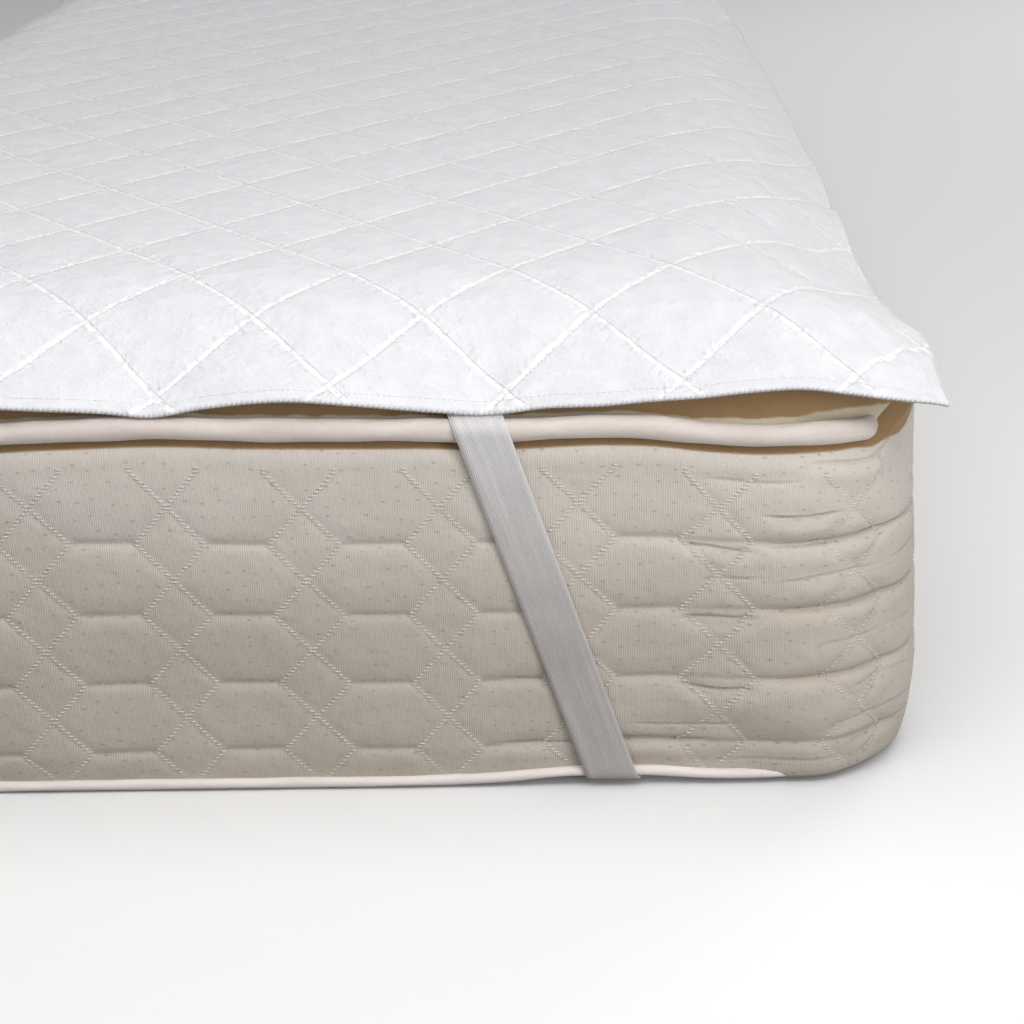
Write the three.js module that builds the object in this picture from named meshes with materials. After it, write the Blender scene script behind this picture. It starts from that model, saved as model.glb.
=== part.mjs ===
// A quilted mattress protector with four elastic corner bands, on the single mattress that it fits.
// Millimetres, +Z up. The origin is the middle of the mattress's flat underside, the foot end faces -Y.
import * as THREE from "three";

// ---- driving dimensions ----

const MATTRESS = {
  halfWidth: 450,
  halfLength: 950,
  cornerRadius: 90,
  tighterInside: 0.35, // each millimetre in from the edge takes this much off the corner's radius
  leastRadius: 15,
  topHeight: 290.5,
  borderBulge: 2.2,
  flatInset: 60, // how far in from the face the flat underside starts
  cornerRaise: 2.2, // the underside clears the bands by this much at each corner
};

const PIPING = {
  topRadius: 6.8,
  topHeight: 234.5,
  bottomRadius: 3.3,
  bottomHeight: 4.2,
  sides: 6,
  probe: 10, // how far in to look for the way that faces outward
};

const PAD = {
  flatHeight: 296.5, // top of the quilting where the pad lies flat
  thickness: 5.5,
  hemThickness: 3.4,
  hemTaper: 34, // the filling thins out to the hem over this distance
  stitchDip: 2.4,
  overMattress: 0.5,
  overSlope: 3.2, // the pad stands this far off the sloping edge of the mattress
  settlesFrom: 110, // and comes down to lie on the mattress between these distances in
  settledAt: 200,
  ridgeBlend: 7,
  heldBlend: 2,
  edgeReach: 140, // how far in from the hem its waves are felt
  footReach: 955, // usual place of the hem at the foot and the head
  sideReach: 458,
  cornerX: 462, // the pad's own corners, which its tables are measured from across the foot
  lastRightWave: -78, // the waves of the right half of the foot hem run on to this X
};

// Half the width and half the length of one quilted diamond, and one stitch crossing to start from.
const DIAMOND = { halfWidth: 50.5, halfLength: 63.5, crossingX: -41, crossingV: -886, closestToHem: 8 };

const BAND = {
  width: 30,
  thickness: 1.2,
  topFromCorner: 256,
  bottomFromCorner: 183,
  liftReach: 20, // the edge is lifted evenly this far either side of a band
  overFloor: 0.35,
  touch: 0.95, // space left between a band and the piping it bends round
};

// ---- short tables, each column named by its function below ----

// Drop of the sloping pad from the flat: [distance in from the hem, share of the full height].
const SLOPE_SHARE = [
  [0, 0],
  [35, 0.385],
  [70, 0.76],
  [100, 0.93],
  [132, 0.99],
  [180, 1],
];

// Crown of the mattress: [distance in from its edge, height].
const CROWN = [
  [10, 234],
  [38, 257],
  [75, 276.5],
  [120, 287.5],
  [200, 290.5],
];

// The hem as it waves: [distance from the corner, height of its lower edge].
const HEM_HEIGHT = [
  [0, 245],
  [30, 246.7],
  [58, 250.9],
  [86, 255],
  [114, 253.8],
  [142, 250.8],
  [171, 249],
  [199, 246.6],
  [233, 245.3],
  [252, 242.9],
  [268, 241.9],
  [285, 243.5],
  [313, 246.5],
  [342, 250],
  [376, 253.1],
  [428, 249.4],
  [458, 244.8],
  [480, 247.4],
  [542, 251.1],
  [700, 248.4],
  [820, 250.6],
  [950, 248.2],
];

// How far each hem stands out past the face of the mattress: [distance from the corner, front, side].
const HEM_REACH = [
  [0, 8, -2],
  [34, 6, -1.5],
  [72, 6, -0.5],
  [95, 7, -3],
  [112, 7, -6],
  [145, 6, -9.5],
  [189, 5, -12],
  [250, 3, -12],
  [300, 4, -12],
  [361, 6, -12],
  [440, 5, -9.5],
  [640, 5, -7.5],
  [950, 5, -4],
];

// The top piping as it rises and dips: [distance from the corner, height above its usual height].
const TOP_PIPING_WAVE = [
  [0, -0.4],
  [45, -4],
  [73, -7.1],
  [102, -7.7],
  [130, -5.4],
  [159, -1.8],
  [187, -0.6],
  [233, -1.9],
  [256, -2.6],
  [279, -1.2],
  [330, -0.2],
  [388, 1],
  [445, 3.4],
  [498, 2.6],
  [588, 0.6],
  [950, 0],
];

// The bottom edge, which the tight bands lift: [distance from the corner, lift].
const BOTTOM_LIFT = [
  [0, 4],
  [78, 2.6],
  [120, 2.5],
  [163, 5.6],
  [183, 5.6],
  [203, 5.6],
  [256, 1.5],
  [318, 0],
  [950, 0],
];

// Where one band runs, seen end on: [distance in from the face, height of the middle of the band].
const BAND_OVER_FRONT_EDGE = [
  [19, 251.2],
  [10, 247.2],
  [2.5, 242.9],
];
const BAND_OVER_SIDE_EDGE = [
  [22, 251.2],
  [13, 247.2],
  [5.5, 242.9],
];

const UNDERNEATH = [
  [6, 4.1],
  [16, 1.9],
  [28, 1],
];

// ---- helpers ----

function tableValue(table, at, column = 1) {
  const last = table.length - 1;
  if (at <= table[0][0]) return table[0][column];
  for (let row = 0; row < last; row++) {
    const [from, to] = [table[row], table[row + 1]];
    if (at <= to[0]) {
      const share = (at - from[0]) / (to[0] - from[0]);
      return from[column] + (to[column] - from[column]) * share;
    }
  }
  return table[last][column];
}

function smoothStep(low, high, at) {
  const share = Math.min(Math.max((at - low) / (high - low), 0), 1);
  return share * share * (3 - 2 * share);
}

function softMin(a, b, blend) {
  const share = Math.max(blend - Math.abs(a - b), 0) / blend;
  return Math.min(a, b) - (share * share * blend) / 4;
}

function softMax(a, b, blend) {
  return -softMin(-a, -b, blend);
}

function meshFrom(name, points, triangles, colour, roughness) {
  const geometry = new THREE.BufferGeometry();
  geometry.setAttribute("position", new THREE.Float32BufferAttribute(points.flat(), 3));
  geometry.setIndex(triangles.flat());
  geometry.computeVertexNormals();
  const material = new THREE.MeshStandardMaterial({ color: colour, roughness, metalness: 0 });
  const mesh = new THREE.Mesh(geometry, material);
  mesh.name = name;
  return mesh;
}

// ---- the edge of the mattress ----

// Stations on a quarter of the edge, from the middle of the foot end to the middle of the right side.
const FOOT_STATIONS = [0, 60, 120, 194, 247, 287, 330];
const CORNER_STEPS = 5;
const SIDE_STATIONS = [830, 787, 747, 694, 540, 300, 0];

function quarterStations() {
  const { halfWidth, halfLength, cornerRadius } = MATTRESS;
  const foot = FOOT_STATIONS.map((x) => ({ run: "foot", share: x / (halfWidth - cornerRadius) }));
  const corner = Array.from({ length: CORNER_STEPS + 1 }, (_, step) => ({
    run: "corner",
    share: step / CORNER_STEPS,
  }));
  const side = SIDE_STATIONS.map((y) => ({ run: "side", share: y / (halfLength - cornerRadius) }));
  return [...foot, ...corner, ...side];
}

// A station's place on the outline that lies a given distance in from the edge, in the foot right quarter.
function quarterPoint(station, inset) {
  const radius = Math.max(MATTRESS.cornerRadius - inset * MATTRESS.tighterInside, MATTRESS.leastRadius);
  const straightX = MATTRESS.halfWidth - inset - radius;
  const straightY = MATTRESS.halfLength - inset - radius;
  if (station.run === "foot") return [straightX * station.share, straightY + radius];
  if (station.run === "side") return [straightX + radius, straightY * station.share];
  const angle = (station.share * Math.PI) / 2;
  return [straightX + radius * Math.sin(angle), straightY + radius * Math.cos(angle)];
}

// Every station round the edge, anticlockwise from above, as {station, signX, signY}.
function edgeStations() {
  const quarter = quarterStations();
  const there = quarter.slice(0, -1);
  const back = quarter.slice(1).reverse();
  const placed = (list, signX, signY) => list.map((station) => ({ station, signX, signY }));
  const rightHalf = [...placed(there, 1, -1), ...placed(back, 1, 1)];
  const leftHalf = [...placed(there, -1, 1), ...placed(back, -1, -1)];
  return [...rightHalf, ...leftHalf];
}

const EDGE = edgeStations();

function edgePoint(place, inset) {
  const [x, y] = quarterPoint(place.station, inset);
  return [x * place.signX, y * place.signY];
}

// Distance along the edge from the square corner that the two faces would make, less in the round itself.
function fromCorner(place) {
  const [x, y] = quarterPoint(place.station, 0);
  const distance = Math.max(MATTRESS.halfWidth - x, MATTRESS.halfLength - y);
  return place.station.run === "corner" ? distance / 2 : distance;
}

function topWave(place) {
  return tableValue(TOP_PIPING_WAVE, fromCorner(place));
}

function bottomLift(place) {
  return tableValue(BOTTOM_LIFT, fromCorner(place));
}

// Distance in from the edge of the mattress, negative outside it.
function distanceIn(x, y) {
  const { halfWidth, halfLength, cornerRadius } = MATTRESS;
  const pastX = Math.abs(x) - (halfWidth - cornerRadius);
  const pastY = Math.abs(y) - (halfLength - cornerRadius);
  const outside = Math.hypot(Math.max(pastX, 0), Math.max(pastY, 0));
  return cornerRadius - outside - Math.min(Math.max(pastX, pastY), 0);
}

// ---- rings of points joined into closed bodies ----

function joinRings(rings, wrap) {
  const count = rings[0].length;
  const points = rings.flat();
  const triangles = [];
  const strips = wrap ? rings.length : rings.length - 1;
  for (let ring = 0; ring < strips; ring++) {
    const low = ring * count;
    const high = ((ring + 1) % rings.length) * count;
    for (let step = 0; step < count; step++) {
      const next = (step + 1) % count;
      triangles.push([low + step, low + next, high + next], [low + step, high + next, high + step]);
    }
  }
  return { points, triangles, count };
}

function closeWithFan(body, firstIndex, centre, facesUp) {
  const hub = body.points.push(centre) - 1;
  for (let step = 0; step < body.count; step++) {
    const here = firstIndex + step;
    const next = firstIndex + ((step + 1) % body.count);
    body.triangles.push(facesUp ? [here, next, hub] : [next, here, hub]);
  }
}

// ---- mattress_body ----

// Outline of the border and its seams: [distance in from the face, height, which edge it follows, how much
// further the corners stand out].
const BORDER_PROFILE = [
  [6.5, 0, "bottom", 0],
  [0.8, 10.5, "bottom", 0],
  [-MATTRESS.borderBulge, 85, "neither", 10],
  [0.8, 224.5, "top", 0],
];
const CORNER_FULLNESS = { fullTo: 60, endsAt: 150 };

// The underside stays flat inside a straight cut across each corner, where the band passes.
const CORNER_CUT = { atFoot: 278, atSide: 778, beforeCut: 9, raisedInset: 40 };

function isAtCorner(place) {
  return fromCorner(place) <= BAND.bottomFromCorner + BAND.liftReach;
}

// A ring on the underside, in from the faces by inset, with each corner cut straight across at the given
// places along the foot and along the side.
function undersideRing(inset, cornerHeight, cutAtFoot, cutAtSide) {
  const reachX = MATTRESS.halfWidth - inset;
  const reachY = MATTRESS.halfLength - inset;
  const corners = EDGE.filter((place) => isAtCorner(place) && place.signX > 0 && place.signY < 0);
  return EDGE.map((place) => {
    const [x, y] = quarterPoint(place.station, 0);
    if (!isAtCorner(place)) return [place.signX * Math.min(x, reachX), place.signY * Math.min(y, reachY), 0];
    const order = corners.findIndex((corner) => corner.station === place.station);
    const share = order / (corners.length - 1);
    const cutX = cutAtFoot + (reachX - cutAtFoot) * share;
    const cutY = reachY + (cutAtSide - reachY) * share;
    return [place.signX * cutX, place.signY * cutY, cornerHeight];
  });
}

function makeMattressBody() {
  const { flatInset, cornerRaise } = MATTRESS;
  const { atFoot, atSide, beforeCut, raisedInset } = CORNER_CUT;
  const flatRing = undersideRing(flatInset, 0, atFoot, atSide);
  const raisedRing = undersideRing(raisedInset, cornerRaise, atFoot - beforeCut, atSide - beforeCut);
  const borderRings = BORDER_PROFILE.map(([inset, height, follows, cornerOut]) =>
    EDGE.map((place) => {
      const follow = { top: topWave(place), bottom: bottomLift(place), neither: 0 }[follows];
      const full = 1 - smoothStep(CORNER_FULLNESS.fullTo, CORNER_FULLNESS.endsAt, fromCorner(place));
      return [...edgePoint(place, inset - cornerOut * full), height + follow];
    }),
  );
  const crownRings = CROWN.map(([inset]) =>
    EDGE.map((place) => {
      const [x, y] = edgePoint(place, inset);
      const wave = topWave(place) * (1 - smoothStep(0, 60, inset));
      return [x, y, tableValue(CROWN, distanceIn(x, y)) + wave];
    }),
  );
  const body = joinRings([flatRing, raisedRing, ...borderRings, ...crownRings], false);
  const lastRing = body.points.length - EDGE.length;
  closeWithFan(body, 0, [0, 0, 0], false);
  closeWithFan(body, lastRing, [0, 0, MATTRESS.topHeight], true);
  return meshFrom("mattress_body", body.points, body.triangles, "#bfb5a3", 0.9);
}

// ---- pipings: closed tubes along the edge ----

function makePiping(name, radius, height, followEdge, colour) {
  const rings = EDGE.map((place) => {
    const [x, y] = edgePoint(place, 0);
    const [insideX, insideY] = edgePoint(place, PIPING.probe);
    const outward = new THREE.Vector2(x - insideX, y - insideY).normalize();
    return Array.from({ length: PIPING.sides }, (_, side) => {
      const angle = (-(side + 0.5) / PIPING.sides) * 2 * Math.PI;
      const out = radius * Math.cos(angle);
      const up = radius * Math.sin(angle);
      return [x + outward.x * out, y + outward.y * out, height + followEdge(place) + up];
    });
  });
  const tube = joinRings(rings, true);
  return meshFrom(name, tube.points, tube.triangles, colour, 0.8);
}

// ---- quilted_panel ----

function shareUp(distance) {
  return tableValue(SLOPE_SHARE, distance);
}

// Length of cloth from the hem to a place a given distance in, on the usual slope.
function clothLength(distance) {
  const usualRise = PAD.flatHeight - tableValue(HEM_HEIGHT, 950) - PAD.hemThickness;
  let length = 0;
  for (let at = 0; at < distance; at++) {
    length += Math.hypot(1, usualRise * (shareUp(at + 1) - shareUp(at)));
  }
  return length;
}

const SLOPE_END = SLOPE_SHARE.at(-1)[0];
const SLOPE_CLOTH = clothLength(SLOPE_END);

// Place across the mattress of a line on the flat cloth, where hemAt is the usual place of the hem.
function placeOnSlope(along, hemAt) {
  const flatEnd = hemAt - SLOPE_END;
  const beyond = Math.abs(along) - flatEnd;
  if (beyond <= 0) return along;
  let distance = SLOPE_END;
  while (distance > 0 && SLOPE_CLOTH - clothLength(distance) < beyond) distance -= 1;
  const over = beyond - (SLOPE_CLOTH - clothLength(distance + 1));
  const step = clothLength(distance + 1) - clothLength(distance);
  return Math.sign(along) * (hemAt - Math.max(distance + 1 - over / step, 0));
}

// Lines of the sewing grid on the flat cloth, half a diamond apart, with a line at each hem.
function gridLines(first, step, hemAt) {
  const lines = [{ along: -hemAt, index: Math.floor((-hemAt - first) / step) }];
  for (let index = lines[0].index + 1; first + index * step < hemAt; index++) {
    const along = first + index * step;
    if (hemAt - Math.abs(along) > DIAMOND.closestToHem) lines.push({ along, index });
  }
  lines.push({ along: hemAt, index: lines.at(-1).index + 1 });
  return lines;
}

function remainder(value, divisor) {
  return ((value % divisor) + divisor) % divisor;
}

// How full the quilting is at a grid crossing: 0 on a stitch line, 1 in the middle of a diamond.
function fullness(column, row) {
  if (remainder(column - row, 2) === 1) return Math.SQRT1_2;
  return remainder(column - row, 4) === 0 || remainder(column + row, 4) === 0 ? 0 : 1;
}

function cornerDistance(along, halfSide) {
  return Math.max(halfSide - Math.abs(along), 0);
}

// Where the two hems lie beside a place: their reach and the height of their lower edge.
function hemsBeside(x, y) {
  const alongFoot = cornerDistance(x, PAD.cornerX);
  const alongSide = cornerDistance(y, MATTRESS.halfLength);
  const measuredFromRight = y < 0 && x > PAD.lastRightWave;
  const footRun = measuredFromRight ? PAD.cornerX - x : alongFoot;
  return {
    foot: MATTRESS.halfLength + tableValue(HEM_REACH, alongFoot, 1),
    side: PAD.cornerX + tableValue(HEM_REACH, alongSide, 2),
    footHeight: tableValue(HEM_HEIGHT, footRun),
    sideHeight: tableValue(HEM_HEIGHT, alongSide),
  };
}

// Height of the fullest part of the pad over a place.
function padHeight(x, y, hems) {
  const slopeFrom = (hemHeight, distance) => {
    const low = hemHeight + PAD.hemThickness;
    return low + (PAD.flatHeight - low) * shareUp(distance);
  };
  const fromFoot = slopeFrom(hems.footHeight, hems.foot - Math.abs(y));
  const fromSide = slopeFrom(hems.sideHeight, hems.side - Math.abs(x));
  const hip = softMin(fromFoot, fromSide, PAD.ridgeBlend);
  const inFromEdge = distanceIn(x, y);
  if (inFromEdge <= 0) return hip;
  const settled = smoothStep(PAD.settlesFrom, PAD.settledAt, inFromEdge);
  const space = PAD.overSlope + (PAD.overMattress - PAD.overSlope) * settled;
  const held = tableValue(CROWN, inFromEdge) + space + PAD.thickness;
  return softMax(hip, Math.min(held, PAD.flatHeight), PAD.heldBlend);
}

function padPoint(column, row) {
  const usualX = placeOnSlope(column.along, PAD.sideReach);
  const usualY = placeOnSlope(row.along, PAD.footReach);
  const hems = hemsBeside(usualX, usualY);
  const nearSide = 1 - smoothStep(0, PAD.edgeReach, PAD.sideReach - Math.abs(usualX));
  const nearFoot = 1 - smoothStep(0, PAD.edgeReach, PAD.footReach - Math.abs(usualY));
  const x = usualX + Math.sign(usualX) * (hems.side - PAD.sideReach) * nearSide;
  const y = usualY + Math.sign(usualY) * (hems.foot - PAD.footReach) * nearFoot;
  const fromHem = Math.min(hems.side - Math.abs(x), hems.foot - Math.abs(y));
  const filled = smoothStep(0, PAD.hemTaper, fromHem);
  const height = padHeight(x, y, hems);
  const dip = PAD.stitchDip * (1 - fullness(column.index, row.index)) * filled;
  const thickness = PAD.hemThickness + (PAD.thickness - PAD.hemThickness) * filled;
  return { top: [x, y, height - dip], under: [x, y, height - thickness] };
}

// The underside keeps every grid line near the hem and fewer of them where it is flat.
function undersideLines(lines, fine, coarse) {
  const last = lines.length - 1;
  const inner = lines.map((_, at) => at).slice(1, -1);
  return inner.filter((at) => {
    const fromEnd = Math.min(at, last - at);
    if (fromEnd <= fine) return true;
    return fromEnd <= coarse ? fromEnd % 2 === 0 : fromEnd % 4 === 0;
  });
}

// The border of a grid of points, anticlockwise from above.
function borderWalk(columnCount, rowCount, id) {
  const [lastColumn, lastRow] = [columnCount - 1, rowCount - 1];
  const walk = [];
  for (let column = 0; column < lastColumn; column++) walk.push(id(column, 0));
  for (let row = 0; row < lastRow; row++) walk.push(id(lastColumn, row));
  for (let column = lastColumn; column > 0; column--) walk.push(id(column, lastRow));
  for (let row = lastRow; row > 0; row--) walk.push(id(0, row));
  return walk;
}

// Fills the space between two closed walks with triangles that face down, taking the shorter way each time.
function zipDownward(points, outer, inner) {
  const between = (a, b) => Math.hypot(...points[a].map((value, axis) => value - points[b][axis]));
  const triangles = [];
  let [out, into] = [0, 0];
  while (out < outer.length || into < inner.length) {
    const [outHere, outNext] = [outer[out % outer.length], outer[(out + 1) % outer.length]];
    const [inHere, inNext] = [inner[into % inner.length], inner[(into + 1) % inner.length]];
    const outIsShorter = between(outNext, inHere) <= between(outHere, inNext);
    if (into >= inner.length || (out < outer.length && outIsShorter)) {
      triangles.push([outHere, inHere, outNext]);
      out += 1;
    } else {
      triangles.push([outHere, inHere, inNext]);
      into += 1;
    }
  }
  return triangles;
}

function makeQuiltedPanel() {
  const halfWidthFlat = PAD.sideReach - SLOPE_END + SLOPE_CLOTH;
  const halfLengthFlat = PAD.footReach - SLOPE_END + SLOPE_CLOTH;
  const columns = gridLines(DIAMOND.crossingX, DIAMOND.halfWidth / 2, halfWidthFlat);
  const rows = gridLines(DIAMOND.crossingV, DIAMOND.halfLength / 2, halfLengthFlat);
  const made = rows.map((row) => columns.map((column) => padPoint(column, row)));
  const points = made.flat().map((point) => point.top);
  const triangles = [];

  // The quilted face, each cell cut along its stitch line.
  const topId = (column, row) => row * columns.length + column;
  for (let row = 0; row < rows.length - 1; row++) {
    for (let column = 0; column < columns.length - 1; column++) {
      const [a, b] = [columns[column].index, rows[row].index];
      const rising = remainder(a - b, 2) === 0 ? remainder(a - b, 4) === 0 : remainder(a + 1 + b, 4) !== 0;
      const near = [topId(column, row), topId(column + 1, row)];
      const far = [topId(column, row + 1), topId(column + 1, row + 1)];
      if (rising) triangles.push([near[0], near[1], far[1]], [near[0], far[1], far[0]]);
      else triangles.push([near[0], near[1], far[0]], [near[1], far[1], far[0]]);
    }
  }

  // The edge of the hem, from its upper line down to its lower line.
  const hemTop = borderWalk(columns.length, rows.length, topId);
  const hemUnder = hemTop.map((top) => {
    const [row, column] = [Math.floor(top / columns.length), top % columns.length];
    return points.push(made[row][column].under) - 1;
  });
  hemTop.forEach((top, at) => {
    const next = (at + 1) % hemTop.length;
    triangles.push([hemUnder[at], hemUnder[next], hemTop[next]], [hemUnder[at], hemTop[next], top]);
  });

  // The backing: a coarser grid, joined all round to the hem.
  const underColumns = undersideLines(columns, 4, columns.length);
  const underRows = undersideLines(rows, 4, 18);
  const firstUnder = points.length;
  for (const row of underRows) {
    for (const column of underColumns) points.push(made[row][column].under);
  }
  const underId = (column, row) => firstUnder + row * underColumns.length + column;
  for (let row = 0; row < underRows.length - 1; row++) {
    for (let column = 0; column < underColumns.length - 1; column++) {
      const near = [underId(column, row), underId(column + 1, row)];
      const far = [underId(column, row + 1), underId(column + 1, row + 1)];
      triangles.push([near[0], far[1], near[1]], [near[0], far[0], far[1]]);
    }
  }
  const backingBorder = borderWalk(underColumns.length, underRows.length, underId);
  triangles.push(...zipDownward(points, hemUnder, backingBorder));
  return meshFrom("quilted_panel", points, triangles, "#f5f2f9", 0.85);
}

// ---- elastic bands ----

// Places where a band bends round a piping, each with the way it runs there.
function bendRound(radius, height, angles) {
  const reach = radius + BAND.touch + BAND.thickness / 2;
  return angles.map((degrees) => {
    const angle = (degrees * Math.PI) / 180;
    const heading = [Math.sin(angle), -Math.cos(angle)];
    return { inset: -reach * Math.cos(angle), height: height - reach * Math.sin(angle), heading };
  });
}

// One leg of a band, from its sewn end to the underside, worked out as the profile that the band follows
// over the edge and then slanted towards the corner.
function bandLeg(sewnEnd) {
  const topHeight = PIPING.topHeight + tableValue(TOP_PIPING_WAVE, BAND.topFromCorner);
  const bottomHeight = PIPING.bottomHeight + tableValue(BOTTOM_LIFT, BAND.bottomFromCorner);
  const overPiping = bendRound(PIPING.topRadius, topHeight, [-62, -38, -14, 8]);
  const underPiping = bendRound(PIPING.bottomRadius, bottomHeight, [0, 45, 90]);
  const fromTable = (table) => table.map(([inset, height]) => ({ inset, height }));
  const profile = [...fromTable(sewnEnd), ...overPiping, ...underPiping, ...fromTable(UNDERNEATH)];
  const gap = (a, b) => Math.hypot(a.inset - b.inset, a.height - b.height);
  const run = [0];
  for (let at = 1; at < profile.length; at++) run.push(run[at - 1] + gap(profile[at], profile[at - 1]));
  const atTop = run[sewnEnd.length + 1];
  const atBottom = run[sewnEnd.length + overPiping.length + 1];
  const slant = (BAND.topFromCorner - BAND.bottomFromCorner) / (atBottom - atTop);
  const halfWide = (BAND.width / 2) * Math.hypot(1, slant);
  return profile.map((place, at) => {
    const before = profile[Math.max(at - 1, 0)];
    const after = profile[Math.min(at + 1, profile.length - 1)];
    const length = gap(after, before);
    const between = [(after.inset - before.inset) / length, (after.height - before.height) / length];
    const heading = place.heading ?? between;
    return { ...place, heading, halfWide, edge: BAND.topFromCorner - (run[at] - atTop) * slant };
  });
}

// The part of a band that lies flat under the corner: a straight run between the ends of its two legs.
function underCorner(start, end) {
  const shares = [0.06, 0.5, 0.94];
  return shares.map((share) => {
    const point = start.clone().lerp(end, share);
    point.z = BAND.thickness / 2 + BAND.overFloor;
    return point;
  });
}

// Each section of a band is {point, wide, thick}: its middle, half its width and half its thickness.
function makeBand(name, signX, signY) {
  const { halfWidth, halfLength } = MATTRESS;
  const along = (x, y, z, length) => new THREE.Vector3(x, y, z).setLength(length);
  const halfThickness = BAND.thickness / 2;
  const footLeg = bandLeg(BAND_OVER_FRONT_EDGE).map(({ edge, inset, height, heading, halfWide }) => ({
    point: new THREE.Vector3(halfWidth - edge, halfLength - inset, height),
    wide: along(1, 0, 0, halfWide),
    thick: along(0, -heading[1], -heading[0], halfThickness),
  }));
  const sideLeg = bandLeg(BAND_OVER_SIDE_EDGE).map(({ edge, inset, height, heading, halfWide }) => ({
    point: new THREE.Vector3(halfWidth - inset, halfLength - edge, height),
    wide: along(0, 1, 0, halfWide),
    thick: along(-heading[1], 0, -heading[0], halfThickness),
  }));
  sideLeg.reverse();
  const across = underCorner(footLeg.at(-1).point, sideLeg[0].point).map((point) => ({
    point,
    wide: along(1, 1, 0, BAND.width / 2),
    thick: along(0, 0, -1, halfThickness),
  }));

  const rings = [...footLeg, ...across, ...sideLeg].map(({ point, wide, thick }) => {
    const corners = [[-1, -1], [1, -1], [1, 1], [-1, 1]];
    return corners.map(([w, t]) => {
      const vertex = point.clone().addScaledVector(wide, w).addScaledVector(thick, t);
      return [vertex.x * signX, vertex.y * signY, vertex.z];
    });
  });
  const band = joinRings(rings, false);
  const last = band.points.length - 4;
  band.triangles.push([0, 2, 1], [0, 3, 2], [last, last + 1, last + 2], [last, last + 2, last + 3]);
  const facingOut = signX * signY < 0 ? band.triangles : band.triangles.map(([a, b, c]) => [a, c, b]);
  return meshFrom(name, band.points, facingOut, "#c9c5c6", 0.7);
}

// ---- the whole ----

const protector = new THREE.Group();
protector.add(makeQuiltedPanel());
const bands = [
  ["band_front_right", 1, -1],
  ["band_front_left", -1, -1],
  ["band_back_right", 1, 1],
  ["band_back_left", -1, 1],
];
for (const [name, signX, signY] of bands) protector.add(makeBand(name, signX, signY));

const mattress = new THREE.Group();
mattress.add(makeMattressBody());
mattress.add(makePiping("top_piping", PIPING.topRadius, PIPING.topHeight, topWave, "#cdbfb2"));
mattress.add(makePiping("bottom_piping", PIPING.bottomRadius, PIPING.bottomHeight, bottomLift, "#c2b0ac"));

const whole = new THREE.Group();
whole.add(protector, mattress);

export default whole;
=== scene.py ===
import math

import bmesh
import bpy
import numpy as np
from mathutils import Matrix


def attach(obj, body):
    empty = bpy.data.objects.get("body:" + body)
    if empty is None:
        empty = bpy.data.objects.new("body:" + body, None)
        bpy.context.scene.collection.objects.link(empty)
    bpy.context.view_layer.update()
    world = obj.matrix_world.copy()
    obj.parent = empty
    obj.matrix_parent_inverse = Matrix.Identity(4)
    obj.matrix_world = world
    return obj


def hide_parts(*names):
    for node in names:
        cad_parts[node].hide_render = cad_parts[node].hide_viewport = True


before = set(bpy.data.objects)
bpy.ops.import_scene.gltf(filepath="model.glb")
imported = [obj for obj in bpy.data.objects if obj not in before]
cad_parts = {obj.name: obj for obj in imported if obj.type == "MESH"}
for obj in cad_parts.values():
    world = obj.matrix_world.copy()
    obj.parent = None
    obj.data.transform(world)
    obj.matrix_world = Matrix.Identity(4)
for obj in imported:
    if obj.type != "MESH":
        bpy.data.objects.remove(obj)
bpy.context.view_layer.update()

# A quilted mattress protector with elastic corner bands, on the single mattress that it fits.
# Sizes are in millimetres as a maker writes them, and become metres when a mesh is shaped.
MM = 0.001


# ---- camera ----

def place_camera():
    camera = bpy.data.objects.new("camera", bpy.data.cameras.new("camera"))
    camera.data.lens = 70.52
    camera.data.sensor_width = 36.0
    heading = Matrix.Rotation(math.radians(1.897), 4, "Z")
    tilt = Matrix.Rotation(math.radians(90 - 21.86), 4, "X")
    roll = Matrix.Rotation(math.radians(-1.711), 4, "Z")
    standing_at = Matrix.Translation((0.2469, -2.0362, 0.6178))
    camera.matrix_world = standing_at @ heading @ tilt @ roll
    bpy.context.collection.objects.link(camera)
    bpy.context.scene.camera = camera


place_camera()


# ---- sizes ----

HALF_WIDTH = 450
HALF_LENGTH = 950
CORNER_RADIUS = 90
TIGHTER_INSIDE = 0.35
LEAST_RADIUS = 15

TOP_PIPING_RADIUS = 6.8
TOP_PIPING_HEIGHT = 234.5
BOTTOM_PIPING_RADIUS = 3.3
BOTTOM_PIPING_HEIGHT = 4.2
TOP_PIPING_TUCK = 9
BOTTOM_PIPING_TUCK = 12
PIPING_NARROWS = 0.35

PAD_TOP = 296.5
PAD_THICKNESS = 5.5
HEM_THICKNESS = 2.6
HEM_TAPER = 34
HEM_SEAM_INSIDE = 9
STITCH_DIP = 2.6
OVER_MATTRESS = 0.5
OVER_SLOPE = 3.2
SETTLES_FROM = 110
SETTLED_AT = 200
EDGE_REACH = 140
FOOT_REACH = 955
SIDE_REACH = 458
PAD_CORNER_X = 462
SLOPE_END = 180

DIAMOND_HALF_WIDTH = 50.5
DIAMOND_HALF_LENGTH = 63.5
CROSSING_X = -41
CROSSING_V = -886

BAND_WIDTH = 30
BAND_THICKNESS = 1.2
BAND_TOUCH = 0.95
BAND_OVER_FLOOR = 0.35
BAND_CUP = 0.25
BAND_COLUMNS = 10
BAND_GRID_STEP = 2.6
BAND_TOP = 256
BAND_BOTTOM = 183

SLOPE_SHARE = [[0, 0], [35, 0.385], [70, 0.76], [100, 0.93], [132, 0.99], [180, 1]]
CROWN = [[10, 238.5], [20, 246], [38, 257.5], [75, 276.5], [120, 287.5], [200, 290.5]]

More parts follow.
